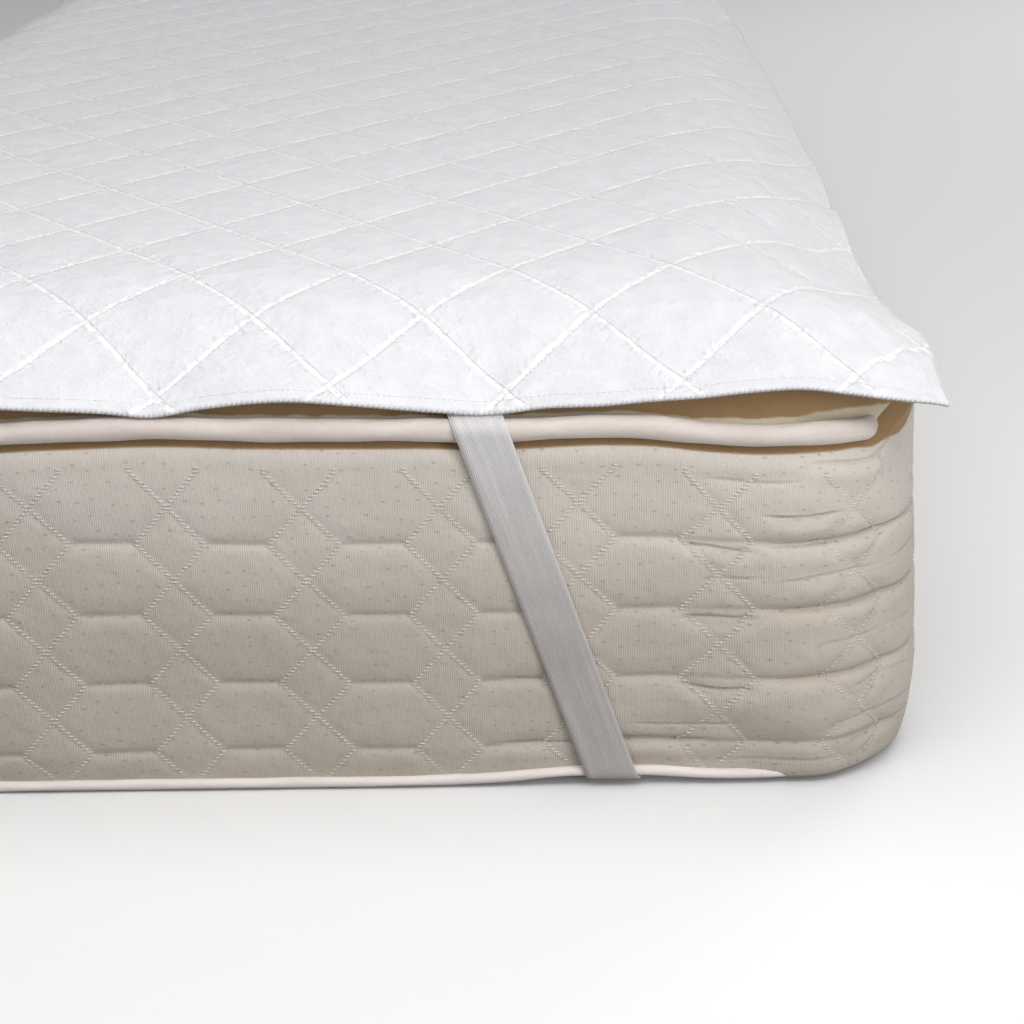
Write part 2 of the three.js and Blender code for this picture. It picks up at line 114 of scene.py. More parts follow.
# [distance from the corner, height of the hem's lower edge]
HEM_HEIGHT = [
    [0, 245], [30, 246.7], [58, 250.9], [86, 255], [114, 253.8], [142, 250.8], [171, 249],
    [199, 246.6], [233, 245.3], [252, 242.9], [268, 241.9], [285, 243.5], [313, 246.5],
    [342, 250], [376, 253.1], [428, 249.4], [458, 244.8], [480, 247.4], [542, 251.1],
    [700, 248.4], [820, 250.6], [950, 248.2],
]

# [distance from the corner, how far the hem stands out at the foot, and at the side]
HEM_REACH = [
    [0, 8, -2], [34, 6, -1.5], [72, 6, -0.5], [95, 7, -3], [112, 7, -6], [145, 6, -9.5],
    [189, 5, -12], [250, 3, -12], [300, 4, -12], [361, 6, -12], [440, 5, -9.5],
    [640, 5, -7.5], [950, 5, -4],
]

# [distance from the corner, height of the top piping above its usual height]
TOP_PIPING_WAVE = [
    [0, -13], [28, -13], [42, -11], [57, -9.3], [73, -8.3], [102, -7.7], [130, -5.4],
    [159, -1.8], [187, -0.6], [233, -1.9], [256, -2.6], [279, -1.2], [330, -0.2],
    [388, 1], [445, 3.4], [498, 2.6], [588, 0.6], [950, 0],
]

# [distance from the corner, how far the bottom edge is lifted]
BOTTOM_LIFT = [
    [0, 4], [78, 2.6], [120, 2.5], [163, 5.6], [183, 5.6], [203, 5.6],
    [256, 1.5], [318, 0], [380, 0], [950, 0],
]

BAND_OVER_FRONT_EDGE = [[19, 251.2], [10, 247.2], [2.5, 242.9]]
BAND_OVER_SIDE_EDGE = [[22, 251.2], [13, 247.2], [5.5, 242.9]]
BAND_UNDERNEATH = [[6, 4.1], [16, 1.9], [28, 1]]


# ---- small helpers ----

def smooth_value(table, at, column=1):
    """A table's value read off a smooth curve through its rows."""
    rows = np.asarray(table, float)
    knots = rows[:, 0]
    values = rows[:, column]
    slopes = np.gradient(values, knots)
    at = np.clip(at, knots[0], knots[-1])
    low = np.clip(np.searchsorted(knots, at, side="right") - 1, 0, len(knots) - 2)
    span = knots[low + 1] - knots[low]
    share = (at - knots[low]) / span
    rest = 1 - share
    from_values = values[low] * (1 + 2 * share) * rest ** 2 + values[low + 1] * (3 - 2 * share) * share ** 2
    from_slopes = slopes[low] * share * rest ** 2 - slopes[low + 1] * rest * share ** 2
    return from_values + from_slopes * span


def smooth_step(low, high, at):
    share = np.clip((at - low) / (high - low), 0, 1)
    return share * share * (3 - 2 * share)


def soft_min(a, b, blend):
    share = np.maximum(blend - np.abs(a - b), 0) / blend
    return np.minimum(a, b) - share * share * blend / 4


def soft_max(a, b, blend):
    return -soft_min(-a, -b, blend)


def hump(at, middle, spread):
    return np.exp(-(((at - middle) / spread) ** 2))


def unit(vectors):
    return vectors / np.linalg.norm(vectors, axis=-1, keepdims=True)


# ---- cut cloth: flat grids of faces, bent into place ----

def cut_cloth(columns, rows):
    """A flat mesh of columns by rows faces, with each vertex's column and row."""
    work = bmesh.new()
    bmesh.ops.create_grid(work, x_segments=columns, y_segments=rows, size=1.0)
    mesh = bpy.data.meshes.new("cloth")
    work.to_mesh(mesh)
    work.free()
    places = np.empty(len(mesh.vertices) * 3)
    mesh.vertices.foreach_get("co", places)
    places = places.reshape(-1, 3)
    column = np.rint((places[:, 0] + 1) / 2 * columns).astype(int)
    row = np.rint((places[:, 1] + 1) / 2 * rows).astype(int)
    return mesh, column, row


def bend_cloth(mesh, points, flat):
    """Puts each vertex in place, and keeps its place on the flat cloth as the UV map."""
    mesh.vertices.foreach_set("co", (points * MM).ravel())
    corners = np.empty(len(mesh.loops), int)
    mesh.loops.foreach_get("vertex_index", corners)
    layer = mesh.uv_layers.new(name="cloth")
    layer.data.foreach_set("uv", (flat * MM)[corners].ravel())
    mesh.update()


def note_on_cloth(mesh, name, values):
    """Keeps a number for each vertex, for the cloth's material to read."""
    layer = mesh.attributes.new(name, "FLOAT", "POINT")
    layer.data.foreach_set("value", values)


def make_piece(name, mesh, materials, replaces=()):
    mesh.name = name
    piece = bpy.data.objects.new(name, mesh)
    bpy.context.collection.objects.link(piece)
    for material in materials:
        mesh.materials.append(material)
    mesh.polygons.foreach_set("use_smooth", np.ones(len(mesh.polygons), bool))
    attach(piece, "root")
    if replaces:
        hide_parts(*replaces)
    return piece


def one_stitch():
    """A short plump length of thread, one unit from its middle to each end."""
    work = bmesh.new()
    bmesh.ops.create_uvsphere(work, u_segments=4, v_segments=2, radius=1.0)
    turn = Matrix.Rotation(math.radians(90), 3, "Y")
    bmesh.ops.rotate(work, verts=work.verts, matrix=turn)
    bmesh.ops.recalc_face_normals(work, faces=work.faces)
    work.verts.ensure_lookup_table()
    corners = np.array([vertex.co[:] for vertex in work.verts])
    faces = np.array([[vertex.index for vertex in face.verts] for face in work.faces])
    work.free()
    return corners, faces


def sew_many(places, along, up, half_size):
    """One mesh of many stitches, each lying along its thread line."""
    corners, faces = one_stitch()
    along = unit(along)
    across = unit(np.cross(up, along))
    up = np.cross(along, across)
    reach = np.asarray(half_size, float)
    turned = np.stack([along * reach[0], across * reach[1], up * reach[2]], axis=-1)
    points = places[:, None, :] + np.einsum("nij,kj->nki", turned, corners)
    numbers = faces[None] + (np.arange(len(places)) * len(corners))[:, None, None]
    mesh = bpy.data.meshes.new("stitches")
    mesh.from_pydata((points.reshape(-1, 3) * MM).tolist(), [], numbers.reshape(-1, 3).tolist())
    return mesh


# ---- the edge of the mattress ----

CORNER_RUN = CORNER_RADIUS * math.pi / 2
FOOT_RUN = HALF_WIDTH - CORNER_RADIUS
SIDE_RUN = 2 * (HALF_LENGTH - CORNER_RADIUS)
EDGE_KNOTS = np.cumsum([
    0, FOOT_RUN, CORNER_RUN, SIDE_RUN, CORNER_RUN, 2 * FOOT_RUN, CORNER_RUN, SIDE_RUN, CORNER_RUN, FOOT_RUN,
])
EDGE_LENGTH = EDGE_KNOTS[-1]
EDGE_TURNS = np.radians([-90, -90, 0, 0, 90, 90, 180, 180, 270, 270])
EDGE_RIGHT = [0, 1, 1, 1, 1, -1, -1, -1, -1, 0]
EDGE_AHEAD = [-1, -1, -1, 1, 1, 1, 1, -1, -1, -1]

# The border's quilting: columns of diamonds, with hexagons between them.
BORDER_PITCHES = 68
COLUMN_PITCH = EDGE_LENGTH / BORDER_PITCHES
ROW_PITCH = 46.1
CREASE_TO_CROSSING = ROW_PITCH / 2
BORDER_DIAMOND_HALF = 21
FIRST_CROSSING_RUN = 408.5 - 5 * COLUMN_PITCH
FIRST_CROSSING_HEIGHT = 3.6
STITCH_CLIMB = 2.3
STITCHED_UP_TO = 214

# Stitches: half length, half width and half height, then how far they stand off the cloth.
BORDER_STITCH = (2.2, 0.5, 0.45)
BORDER_STITCH_LIFT = 0.3
QUILTING_STITCH = (1.75, 0.45, 0.4)
QUILTING_STITCH_LIFT = 0.4
QUILTING_STITCH_PITCH = 3.6
HEM_WRAP = (2.15, 0.5, 0.55)
HEM_WRAP_PITCH = 3.0
HEM_STITCH = (1.35, 0.4, 0.4)
HEM_STITCH_LIFT = 0.2
HEM_STITCH_PITCH = 3.4

# Creases pressed into the border, by distance from the corner:
# [distance from the corner, height, half length, depth, how far it rises towards the corner]
BORDER_WRINKLES = [
    [74, 184, 24, 2.6, 0.5], [58, 141, 30, 1.6, 1.5], [48, 119, 46, 2.4, 2], [50, 165, 50, 2.6, 2],
    [54, 73, 40, 1.8, 2], [122, 160, 22, 2.2, -1], [122, 113, 24, 2.6, 1], [124, 66, 22, 2.4, -1],
    [48, 96, 22, 1.0, 2], [138, 39, 34, 1.8, 0.5], [154, 27, 30, 2.6, 2], [40, 40, 24, 1.4, 4],
    [32, 26, 20, 1.4, 5], [84, 14, 40, 1.2, 1], [42, 217, 30, 2.0, 0.5], [104, 207, 30, 1.2, 0.5],
    [116, 140, 18, 1.2, 2], [218, 27, 34, 1.4, -1], [224, 73, 26, 1.0, -1], [28, 66, 24, 1.0, 6],
]


def edge_place(run, inset):
    """Plan place at a distance along the edge from the middle of the foot end, and the way that faces out."""
    run = run % EDGE_LENGTH
    turn = np.interp(run, EDGE_KNOTS, EDGE_TURNS)
    radius = np.maximum(CORNER_RADIUS - inset * TIGHTER_INSIDE, LEAST_RADIUS)
    right = np.interp(run, EDGE_KNOTS, EDGE_RIGHT) * (HALF_WIDTH - inset - radius)
    ahead = np.interp(run, EDGE_KNOTS, EDGE_AHEAD) * (HALF_LENGTH - inset - radius)
    return right + radius * np.cos(turn), ahead + radius * np.sin(turn), turn


def from_corner(run):
    """Distance from the square corner that the two faces would make."""
    x, y, _ = edge_place(run, 0)
    return np.maximum(HALF_WIDTH - np.abs(x), HALF_LENGTH - np.abs(y))


def top_wave(run):
    """The right corner's waves run on a little past the middle of the foot."""
    x, y, _ = edge_place(run, 0)
    from_nearest = smooth_value(TOP_PIPING_WAVE, from_corner(run))
    from_right = smooth_value(TOP_PIPING_WAVE, np.clip(HALF_WIDTH - x, 0, HALF_LENGTH))
    share = smooth_step(-130, -60, x) * (y < 1 - HALF_LENGTH)
    return from_nearest + (from_right - from_nearest) * share


def bottom_lift(run):
    return smooth_value(BOTTOM_LIFT, from_corner(run))


def corner_share(run):
    """1 in the round of each corner, 0 along the straight sides."""
    return 1 - smooth_step(80, 160, from_corner(run))


def corner_shoulder(run):
    """1 on the part of each corner next to the long side, where the cloth puffs out over the piping."""
    turn = edge_place(run, 0)[2]
    return smooth_step(0.62, 0.86, np.abs(np.cos(turn))) * corner_share(run)


def ripple(run, waves, ahead=0.0):
    """A gentle wave that comes round the whole edge a whole number of times."""
    return np.sin(2 * math.pi * waves * run / EDGE_LENGTH + ahead)


def distance_in(x, y):
    """Distance in from the edge of the mattress, negative outside it."""
    past_x = np.abs(x) - (HALF_WIDTH - CORNER_RADIUS)
    past_y = np.abs(y) - (HALF_LENGTH - CORNER_RADIUS)
    outside = np.hypot(np.maximum(past_x, 0), np.maximum(past_y, 0))
    return CORNER_RADIUS - outside - np.minimum(np.maximum(past_x, past_y), 0)


# ---- finishes: effects that several materials share ----

def wire(tree, socket, value):
    if isinstance(value, bpy.types.NodeSocket):
        tree.links.new(value, socket)
    elif value is not None:
        socket.default_value = value


def add_node(tree, kind, inputs=None, **settings):
    node = tree.nodes.new(kind)
    for setting, value in settings.items():
        setattr(node, setting, value)
    for name, value in (inputs or {}).items():
        wire(tree, node.inputs[name], value)
    return node


def calculate(tree, operation, *values):
    node = add_node(tree, "ShaderNodeMath", operation=operation)
    for socket, value in zip(node.inputs, values):
        wire(tree, socket, value)
    return node.outputs[0]


def between(tree, value, none_at, all_at, rise="SMOOTHSTEP"):
    """Rises from 0 at one value to 1 at another."""
    node = add_node(tree, "ShaderNodeMapRange", {"Value": value, "From Min": none_at, "From Max": all_at})
    node.interpolation_type = rise
    return node.outputs[0]


def noise(tree, place, scale, detail, roughness=None):
    """Unevenness with no pattern to it, between 0 and 1."""
    inputs = {"Vector": place, "Scale": scale, "Detail": detail, "Roughness": roughness}
    return add_node(tree, "ShaderNodeTexNoise", inputs).outputs["Fac"]


# Where a Mix node keeps its share, its two colours and the colour it makes.
MIX_SHARE = 0
MIX_FIRST = 6
MIX_SECOND = 7
MIXED = 2


def mix_colours(tree, share, first, second, blend="MIX"):
    node = add_node(tree, "ShaderNodeMix", data_type="RGBA", blend_type=blend)
    wire(tree, node.inputs[MIX_SHARE], share)
    wire(tree, node.inputs[MIX_FIRST], first)
    wire(tree, node.inputs[MIX_SECOND], second)
    return node.outputs[MIXED]


def new_effect(name, inputs, outputs):
    """A shader node group with named inputs and outputs."""
    group = bpy.data.node_groups.new(name, "ShaderNodeTree")
    for label, kind, value in inputs:
        socket = group.interface.new_socket(name=label, in_out="INPUT", socket_type=kind)
        if value is not None:
            socket.default_value = value
    for label, kind in outputs:
        group.interface.new_socket(name=label, in_out="OUTPUT", socket_type=kind)
    entry = group.nodes.new("NodeGroupInput")
    leave = group.nodes.new("NodeGroupOutput")
    return group, entry.outputs, leave.inputs


NUMBER = "NodeSocketFloat"
PLACE = "NodeSocketVector"
COLOUR = "NodeSocketColor"


def make_plain_weave():
    """Threads that cross at right angles: how high they stand."""
    group, given, made = new_effect(
        "plain_weave",
        [("Cloth", PLACE, None), ("Thread Pitch", NUMBER, 0.0006)],
        [("Height", NUMBER)],
    )
    parts = add_node(group, "ShaderNodeSeparateXYZ", {"Vector": given["Cloth"]})
    warp = calculate(group, "SINE", calculate(group, "DIVIDE", parts.outputs["X"], given["Thread Pitch"]))
    weft = calculate(group, "SINE", calculate(group, "DIVIDE", parts.outputs["Y"], given["Thread Pitch"]))
    crossed = calculate(group, "MULTIPLY", warp, weft)
    wire(group, made["Height"], calculate(group, "MULTIPLY_ADD", crossed, 0.5, 0.5))
    return group


def make_ribs():
    """Fine parallel ribs, a little uneven, across the cloth's first direction."""
    group, given, made = new_effect(
        "ribs",
        [
            ("Cloth", PLACE, None), ("Rib Pitch", NUMBER, 0.0017),
            ("Slant", NUMBER, 0.0), ("Uneven", NUMBER, 0.6),
        ],
        [("Height", NUMBER), ("Shade", NUMBER)],
    )
    parts = add_node(group, "ShaderNodeSeparateXYZ", {"Vector": given["Cloth"]})
    slid = calculate(group, "MULTIPLY_ADD", parts.outputs["Y"], given["Slant"], parts.outputs["X"])
    stretch = add_node(group, "ShaderNodeCombineXYZ", {"X": slid})
    wire(group, stretch.inputs["Y"], calculate(group, "MULTIPLY", parts.outputs["Y"], 0.12))
    wander = noise(group, stretch.outputs[0], 260.0, 2.0)
    turns = calculate(group, "MULTIPLY", calculate(group, "DIVIDE", slid, given["Rib Pitch"]), 2 * math.pi)
    shifted = calculate(group, "MULTIPLY_ADD", wander, given["Uneven"], turns)
    rib = calculate(group, "MULTIPLY_ADD", calculate(group, "SINE", shifted), 0.5, 0.5)
    wire(group, made["Height"], rib)
    wire(group, made["Shade"], calculate(group, "MULTIPLY", rib, wander))
    return group


def make_soft_mottle():
    """Slow and fast unevenness of colour, as washed or dyed cloth has."""
    group, given, made = new_effect(
        "soft_mottle",
        [
            ("Cloth", PLACE, None), ("Light", COLOUR, None), ("Dark", COLOUR, None),
            ("Patch Scale", NUMBER, 14.0),
        ],
        [("Color", COLOUR)],
    )
    slow = noise(group, given["Cloth"], given["Patch Scale"], 3.0)
    fast = noise(group, given["Cloth"], 900.0, 1.0)
    both = calculate(group, "MULTIPLY_ADD", fast, 0.35, calculate(group, "MULTIPLY", slow, 0.65))
    light_share = between(group, both, 0.36, 0.64, "LINEAR")
    wire(group, made["Color"], mix_colours(group, light_share, given["Dark"], given["Light"]))
    return group


def make_seam_puckers():
    """Little gathers on both sides of the quilting lines of a diamond-quilted cloth."""
    group, given, made = new_effect(
        "seam_puckers",
        [
            ("Cloth", PLACE, None), ("Half Width", NUMBER, 0.05), ("Half Length", NUMBER, 0.06),
            ("Start X", NUMBER, 0.0), ("Start Y", NUMBER, 0.0), ("Gathers", NUMBER, 12.0),
            ("Drift", NUMBER, 0.006),
        ],
        [("Height", NUMBER), ("Near Seam", NUMBER)],
    )
    parts = add_node(group, "ShaderNodeSeparateXYZ", {"Vector": given["Cloth"]})
    drift = noise(group, given["Cloth"], 85.0, 2.0)
    strayed = calculate(group, "MULTIPLY_ADD", drift, given["Drift"], parts.outputs["X"])
    across = calculate(group, "SUBTRACT", strayed, given["Start X"])
    across = calculate(group, "DIVIDE", across, given["Half Width"])
    ahead = calculate(group, "SUBTRACT", parts.outputs["Y"], given["Start Y"])
    ahead = calculate(group, "DIVIDE", ahead, given["Half Length"])
    falling = calculate(group, "MULTIPLY", calculate(group, "ADD", across, ahead), 0.5)
    rising = calculate(group, "MULTIPLY", calculate(group, "SUBTRACT", across, ahead), 0.5)
    wander = noise(group, given["Cloth"], 75.0, 2.0)
    heights = []
    masks = []
    for seam, beside in ((falling, rising), (rising, falling)):
        off_line = calculate(group, "PINGPONG", seam, 0.5)
        near = add_node(group, "ShaderNodeMapRange", {"Value": off_line, "From Min": 0.0, "From Max": 0.16})
        near.interpolation_type = "SMOOTHERSTEP"
        wire(group, near.inputs["To Min"], 1.0)
        wire(group, near.inputs["To Max"], 0.0)
        turns = calculate(group, "MULTIPLY", beside, given["Gathers"])
        bent = calculate(group, "MULTIPLY_ADD", wander, 2.6, turns)
        gather = calculate(group, "SINE", calculate(group, "MULTIPLY", bent, 2 * math.pi))
        heights.append(calculate(group, "MULTIPLY", gather, near.outputs[0]))
        masks.append(near.outputs[0])
    wire(group, made["Height"], calculate(group, "ADD", *heights))
    wire(group, made["Near Seam"], calculate(group, "MAXIMUM", *masks))
    return group


def make_fleck():
    """Small dark slubs scattered at even distances over a ticking."""
    group, given, made = new_effect(
        "fleck",
        [
            ("Cloth", PLACE, None), ("Apart", NUMBER, 0.0165),
            ("Length", NUMBER, 0.0026), ("Height", NUMBER, 0.0013),
        ],
        [("Mask", NUMBER)],
    )
    cells = add_node(group, "ShaderNodeTexVoronoi", voronoi_dimensions="2D")
    wire(group, cells.inputs["Vector"], given["Cloth"])
    wire(group, cells.inputs["Scale"], calculate(group, "DIVIDE", 1.0, given["Apart"]))
    wire(group, cells.inputs["Randomness"], 0.55)
    off = add_node(group, "ShaderNodeVectorMath", operation="SUBTRACT")
    wire(group, off.inputs[0], given["Cloth"])
    wire(group, off.inputs[1], cells.outputs["Position"])
    parts = add_node(group, "ShaderNodeSeparateXYZ", {"Vector": off.outputs[0]})
    wide = calculate(group, "DIVIDE", parts.outputs["X"], calculate(group, "MULTIPLY", given["Length"], 0.5))
    tall = calculate(group, "DIVIDE", parts.outputs["Y"], calculate(group, "MULTIPLY", given["Height"], 0.5))
    squares = [calculate(group, "MULTIPLY", reach, reach) for reach in (wide, tall)]
    round_off = calculate(group, "ADD", *squares)
    mark = add_node(group, "ShaderNodeMapRange", {"Value": round_off, "From Min": 0.3, "From Max": 1.4})
    wire(group, mark.inputs["To Min"], 1.0)
    wire(group, mark.inputs["To Max"], 0.0)
    shade = add_node(group, "ShaderNodeSeparateXYZ", {"Vector": cells.outputs["Color"]})
    strength = calculate(group, "MULTIPLY_ADD", shade.outputs["X"], 0.6, 0.4)
    wire(group, made["Mask"], calculate(group, "MULTIPLY", mark.outputs[0], strength))
    return group


def make_border_lines():
    """Where a border's ticking lies beside its sewn zigzags and its pressed creases."""
    group, given, made = new_effect(
        "border_lines",
        [("Cloth", PLACE, None), ("From Corner", NUMBER, None)],
        [("Thread", NUMBER), ("Pull", NUMBER), ("Above Crease", NUMBER), ("Below Crease", NUMBER)],
    )
    parts = add_node(group, "ShaderNodeSeparateXYZ", {"Vector": given["Cloth"]})
    run = calculate(group, "SUBTRACT", parts.outputs["X"], FIRST_CROSSING_RUN * MM)
    beside = calculate(group, "PINGPONG", run, COLUMN_PITCH / 2 * MM)
    height = calculate(group, "SUBTRACT", parts.outputs["Y"], FIRST_CROSSING_HEIGHT * MM)
    up = calculate(group, "WRAP", height, CREASE_TO_CROSSING * MM, -CREASE_TO_CROSSING * MM)
    widening = BORDER_DIAMOND_HALF / CREASE_TO_CROSSING
    line = calculate(group, "MULTIPLY", calculate(group, "ABSOLUTE", up), widening)
    off_line = calculate(group, "ABSOLUTE", calculate(group, "SUBTRACT", beside, line))
    sewn = between(group, parts.outputs["Y"], STITCHED_UP_TO * MM, (STITCHED_UP_TO - 4) * MM)
    near = calculate(group, "MULTIPLY", between(group, off_line, 0.0028, 0.0013), sewn)
    climbed = calculate(group, "DIVIDE", parts.outputs["Y"], STITCH_CLIMB * MM)
    turns = calculate(group, "MULTIPLY", climbed, 2 * math.pi)
    level = calculate(group, "MULTIPLY_ADD", calculate(group, "SINE", turns), 0.5, 0.5)
    wire(group, made["Pull"], calculate(group, "MULTIPLY", near, level))
    wire(group, made["Thread"], calculate(group, "MULTIPLY", near, between(group, level, 0.45, 0.8)))
    in_hexagon = between(group, beside, (BORDER_DIAMOND_HALF - 2) * MM, (BORDER_DIAMOND_HALF + 2) * MM)
    drawn_tight = between(group, given["From Corner"], 0.198, 0.078)
    creased = calculate(group, "MAXIMUM", in_hexagon, drawn_tight)
    creased = calculate(group, "MULTIPLY", creased, between(group, parts.outputs["Y"], 0.205, 0.18))
    above = between(group, calculate(group, "ADD", up, CREASE_TO_CROSSING * MM), 0.004, 0.0)
    below = between(group, calculate(group, "SUBTRACT", CREASE_TO_CROSSING * MM, up), 0.003, 0.0)
    wire(group, made["Above Crease"], calculate(group, "MULTIPLY", above, creased))
    wire(group, made["Below Crease"], calculate(group, "MULTIPLY", below, creased))
    return group


def make_border_folds():
    """The crisp middles of the folds drawn across the border beside each corner."""
    group, given, made = new_effect(
        "border_folds", [("Cloth", PLACE, None), ("From Corner", NUMBER, None)], [("Fold", NUMBER)],
    )
    height = add_node(group, "ShaderNodeSeparateXYZ", {"Vector": given["Cloth"]}).outputs["Y"]
    deepest = 0.0
    for distance, middle_height, half_length, depth, rise in BORDER_WRINKLES:
        nearer = calculate(group, "SUBTRACT", distance * MM, given["From Corner"])
        share = calculate(group, "DIVIDE", nearer, half_length * MM)
        line = calculate(group, "MULTIPLY_ADD", share, rise * MM, middle_height * MM)
        bend = calculate(group, "SINE", calculate(group, "MULTIPLY_ADD", share, 3.0, distance))
        line = calculate(group, "MULTIPLY_ADD", bend, 0.8 * MM, line)
        off_line = calculate(group, "ABSOLUTE", calculate(group, "SUBTRACT", height, line))
        ends = between(group, calculate(group, "ABSOLUTE", share), 1.15, 0.5)
        narrow = between(group, off_line, 0.0022, 0.0)
        fold = calculate(group, "MULTIPLY", calculate(group, "MULTIPLY", narrow, ends), depth / 2.6)
        deepest = calculate(group, "MAXIMUM", deepest, fold)
    wire(group, made["Fold"], deepest)
    return group


PLAIN_WEAVE = make_plain_weave()
RIBS = make_ribs()
SOFT_MOTTLE = make_soft_mottle()
SEAM_PUCKERS = make_seam_puckers()
FLECK = make_fleck()
BORDER_LINES = make_border_lines()
BORDER_FOLDS = make_border_folds()


def use_effect(tree, group, **inputs):
    node = add_node(tree, "ShaderNodeGroup")
    node.node_tree = group
    for label, value in inputs.items():
        wire(tree, node.inputs[label.replace("_", " ")], value)
    return node.outputs


def start_material(name, roughness, sheen):
    material = bpy.data.materials.new(name)
    material.use_nodes = True
    tree = material.node_tree
    surface = tree.nodes["Principled BSDF"]
    surface.inputs["Roughness"].default_value = roughness
    surface.inputs["Sheen Weight"].default_value = sheen
    surface.inputs["Sheen Roughness"].default_value = 0.5
    surface.inputs["Specular IOR Level"].default_value = 0.25
    cloth = add_node(tree, "ShaderNodeUVMap", uv_map="cloth")
    return material, tree, surface, cloth.outputs["UV"]


def raise_surface(tree, surface, layers):
    """Stacks bumps: each layer is its height, and how high that stands in metres."""
    below = None
    for height, rise in layers:
        bump = add_node(tree, "ShaderNodeBump", {"Height": height, "Distance": rise, "Strength": 1.0})
        if below is not None:
            tree.links.new(below, bump.inputs["Normal"])
        below = bump.outputs["Normal"]
    tree.links.new(below, surface.inputs["Normal"])


def make_quilted_cotton():
    material, tree, surface, cloth = start_material("quilted_cotton", 0.86, 0.25)
    tone = use_effect(
        tree, SOFT_MOTTLE, Cloth=cloth,
        Light=(0.82, 0.815, 0.84, 1), Dark=(0.75, 0.745, 0.775, 1), Patch_Scale=55.0,
    )
    weave = use_effect(tree, PLAIN_WEAVE, Cloth=cloth, Thread_Pitch=0.00011)
    puckers = use_effect(
        tree, SEAM_PUCKERS, Cloth=cloth,
        Half_Width=DIAMOND_HALF_WIDTH * MM, Half_Length=DIAMOND_HALF_LENGTH * MM,
        Start_X=CROSSING_X * MM, Start_Y=CROSSING_V * MM, Gathers=9.0,
    )
    crumple = noise(tree, cloth, 55.0, 4.0, roughness=0.62)
    knots = noise(tree, cloth, 210.0, 1.0)
    pressed = between(tree, puckers["Near Seam"], 0.968, 0.996)
    thread = calculate(tree, "MULTIPLY", pressed, between(tree, knots, 0.3, 0.52))
    wire(tree, surface.inputs["Base Color"], mix_colours(tree, thread, tone["Color"], (0.94, 0.94, 0.95, 1)))
    raise_surface(tree, surface, [
        (puckers["Height"], 0.00028),
        (crumple, 0.0034),
        (weave["Height"], 0.00005),
    ])
    return material


def make_thread(name, light, dark):
    material, tree, surface, _ = start_material(name, 0.6, 0.2)
    place = add_node(tree, "ShaderNodeTexCoord").outputs["Object"]
    tone = use_effect(tree, SOFT_MOTTLE, Cloth=place, Light=light, Dark=dark, Patch_Scale=60.0)
    twist = noise(tree, place, 2600.0, 1.0)
    wire(tree, surface.inputs["Base Color"], tone["Color"])
    raise_surface(tree, surface, [(twist, 0.0001)])
    return material


def make_ticking():
    material, tree, surface, cloth = start_material("mattress_ticking", 0.72, 0.15)
    light = (0.70, 0.645, 0.585, 1)
    dark = (0.64, 0.585, 0.525, 1)
    tone = use_effect(tree, SOFT_MOTTLE, Cloth=cloth, Light=light, Dark=dark, Patch_Scale=16.0)
    ribs = use_effect(tree, RIBS, Cloth=cloth, Rib_Pitch=0.00135)
    weave = use_effect(tree, PLAIN_WEAVE, Cloth=cloth, Thread_Pitch=0.00012)
    fleck = use_effect(tree, FLECK, Cloth=cloth, Apart=0.0105, Length=0.0029, Height=0.0014)
    rib_share = calculate(tree, "MULTIPLY", ribs["Shade"], 0.3)
    ribbed = mix_colours(tree, rib_share, tone["Color"], (0.76, 0.715, 0.66, 1))
    fleck_share = calculate(tree, "MULTIPLY", fleck["Mask"], 0.5)
    flecked = mix_colours(tree, fleck_share, ribbed, (0.30, 0.23, 0.16, 1))
    height = add_node(tree, "ShaderNodeSeparateXYZ", {"Vector": cloth}).outputs["Y"]
    # Painted shade: the border is darkened towards the bottom, for the light that falls off lower down.
    painted_low_shade = calculate(tree, "MULTIPLY", between(tree, height, 0.205, 0.1), 0.8)
    with_painted_low_shade = mix_colours(tree, painted_low_shade, flecked, (0.77, 0.74, 0.70, 1), "MULTIPLY")
    reach = add_node(tree, "ShaderNodeAttribute", attribute_name="from_corner").outputs["Fac"]
    lines = use_effect(tree, BORDER_LINES, Cloth=cloth, From_Corner=reach)
    folds = use_effect(tree, BORDER_FOLDS, Cloth=cloth, From_Corner=reach)
    thread_share = calculate(tree, "MULTIPLY", lines["Thread"], 0.28)
    sewn = mix_colours(tree, thread_share, with_painted_low_shade, (0.80, 0.76, 0.71, 1))
    in_shade = calculate(tree, "MAXIMUM", lines["Above Crease"], folds["Fold"])
    in_shade = calculate(tree, "MULTIPLY", in_shade, 0.4)
    shaded = mix_colours(tree, in_shade, sewn, (0.72, 0.69, 0.65, 1), "MULTIPLY")
    # Painted shade: dark brown on the border's top rows, for the shade in the groove under the top piping and
    # beside the puffed corners.
    seam = add_node(tree, "ShaderNodeAttribute", attribute_name="above_painted_shade")
    painted_groove_shade = between(tree, seam.outputs["Fac"], -0.0006, 0.0006)
    wire(tree, surface.inputs["Base Color"], mix_colours(tree, painted_groove_shade, shaded, (0.36, 0.23, 0.11, 1)))
    crumple = noise(tree, cloth, 60.0, 3.0, roughness=0.6)
    beside_crease = calculate(tree, "MAXIMUM", lines["Above Crease"], lines["Below Crease"])
    raise_surface(tree, surface, [
        (crumple, 0.0014),
        (calculate(tree, "SUBTRACT", 1.0, beside_crease), 0.0005),
        (calculate(tree, "SUBTRACT", 1.0, folds["Fold"]), 0.0010),
        (lines["Pull"], 0.00025),
        (ribs["Height"], 0.00016),
        (weave["Height"], 0.00005),
    ])
    return material


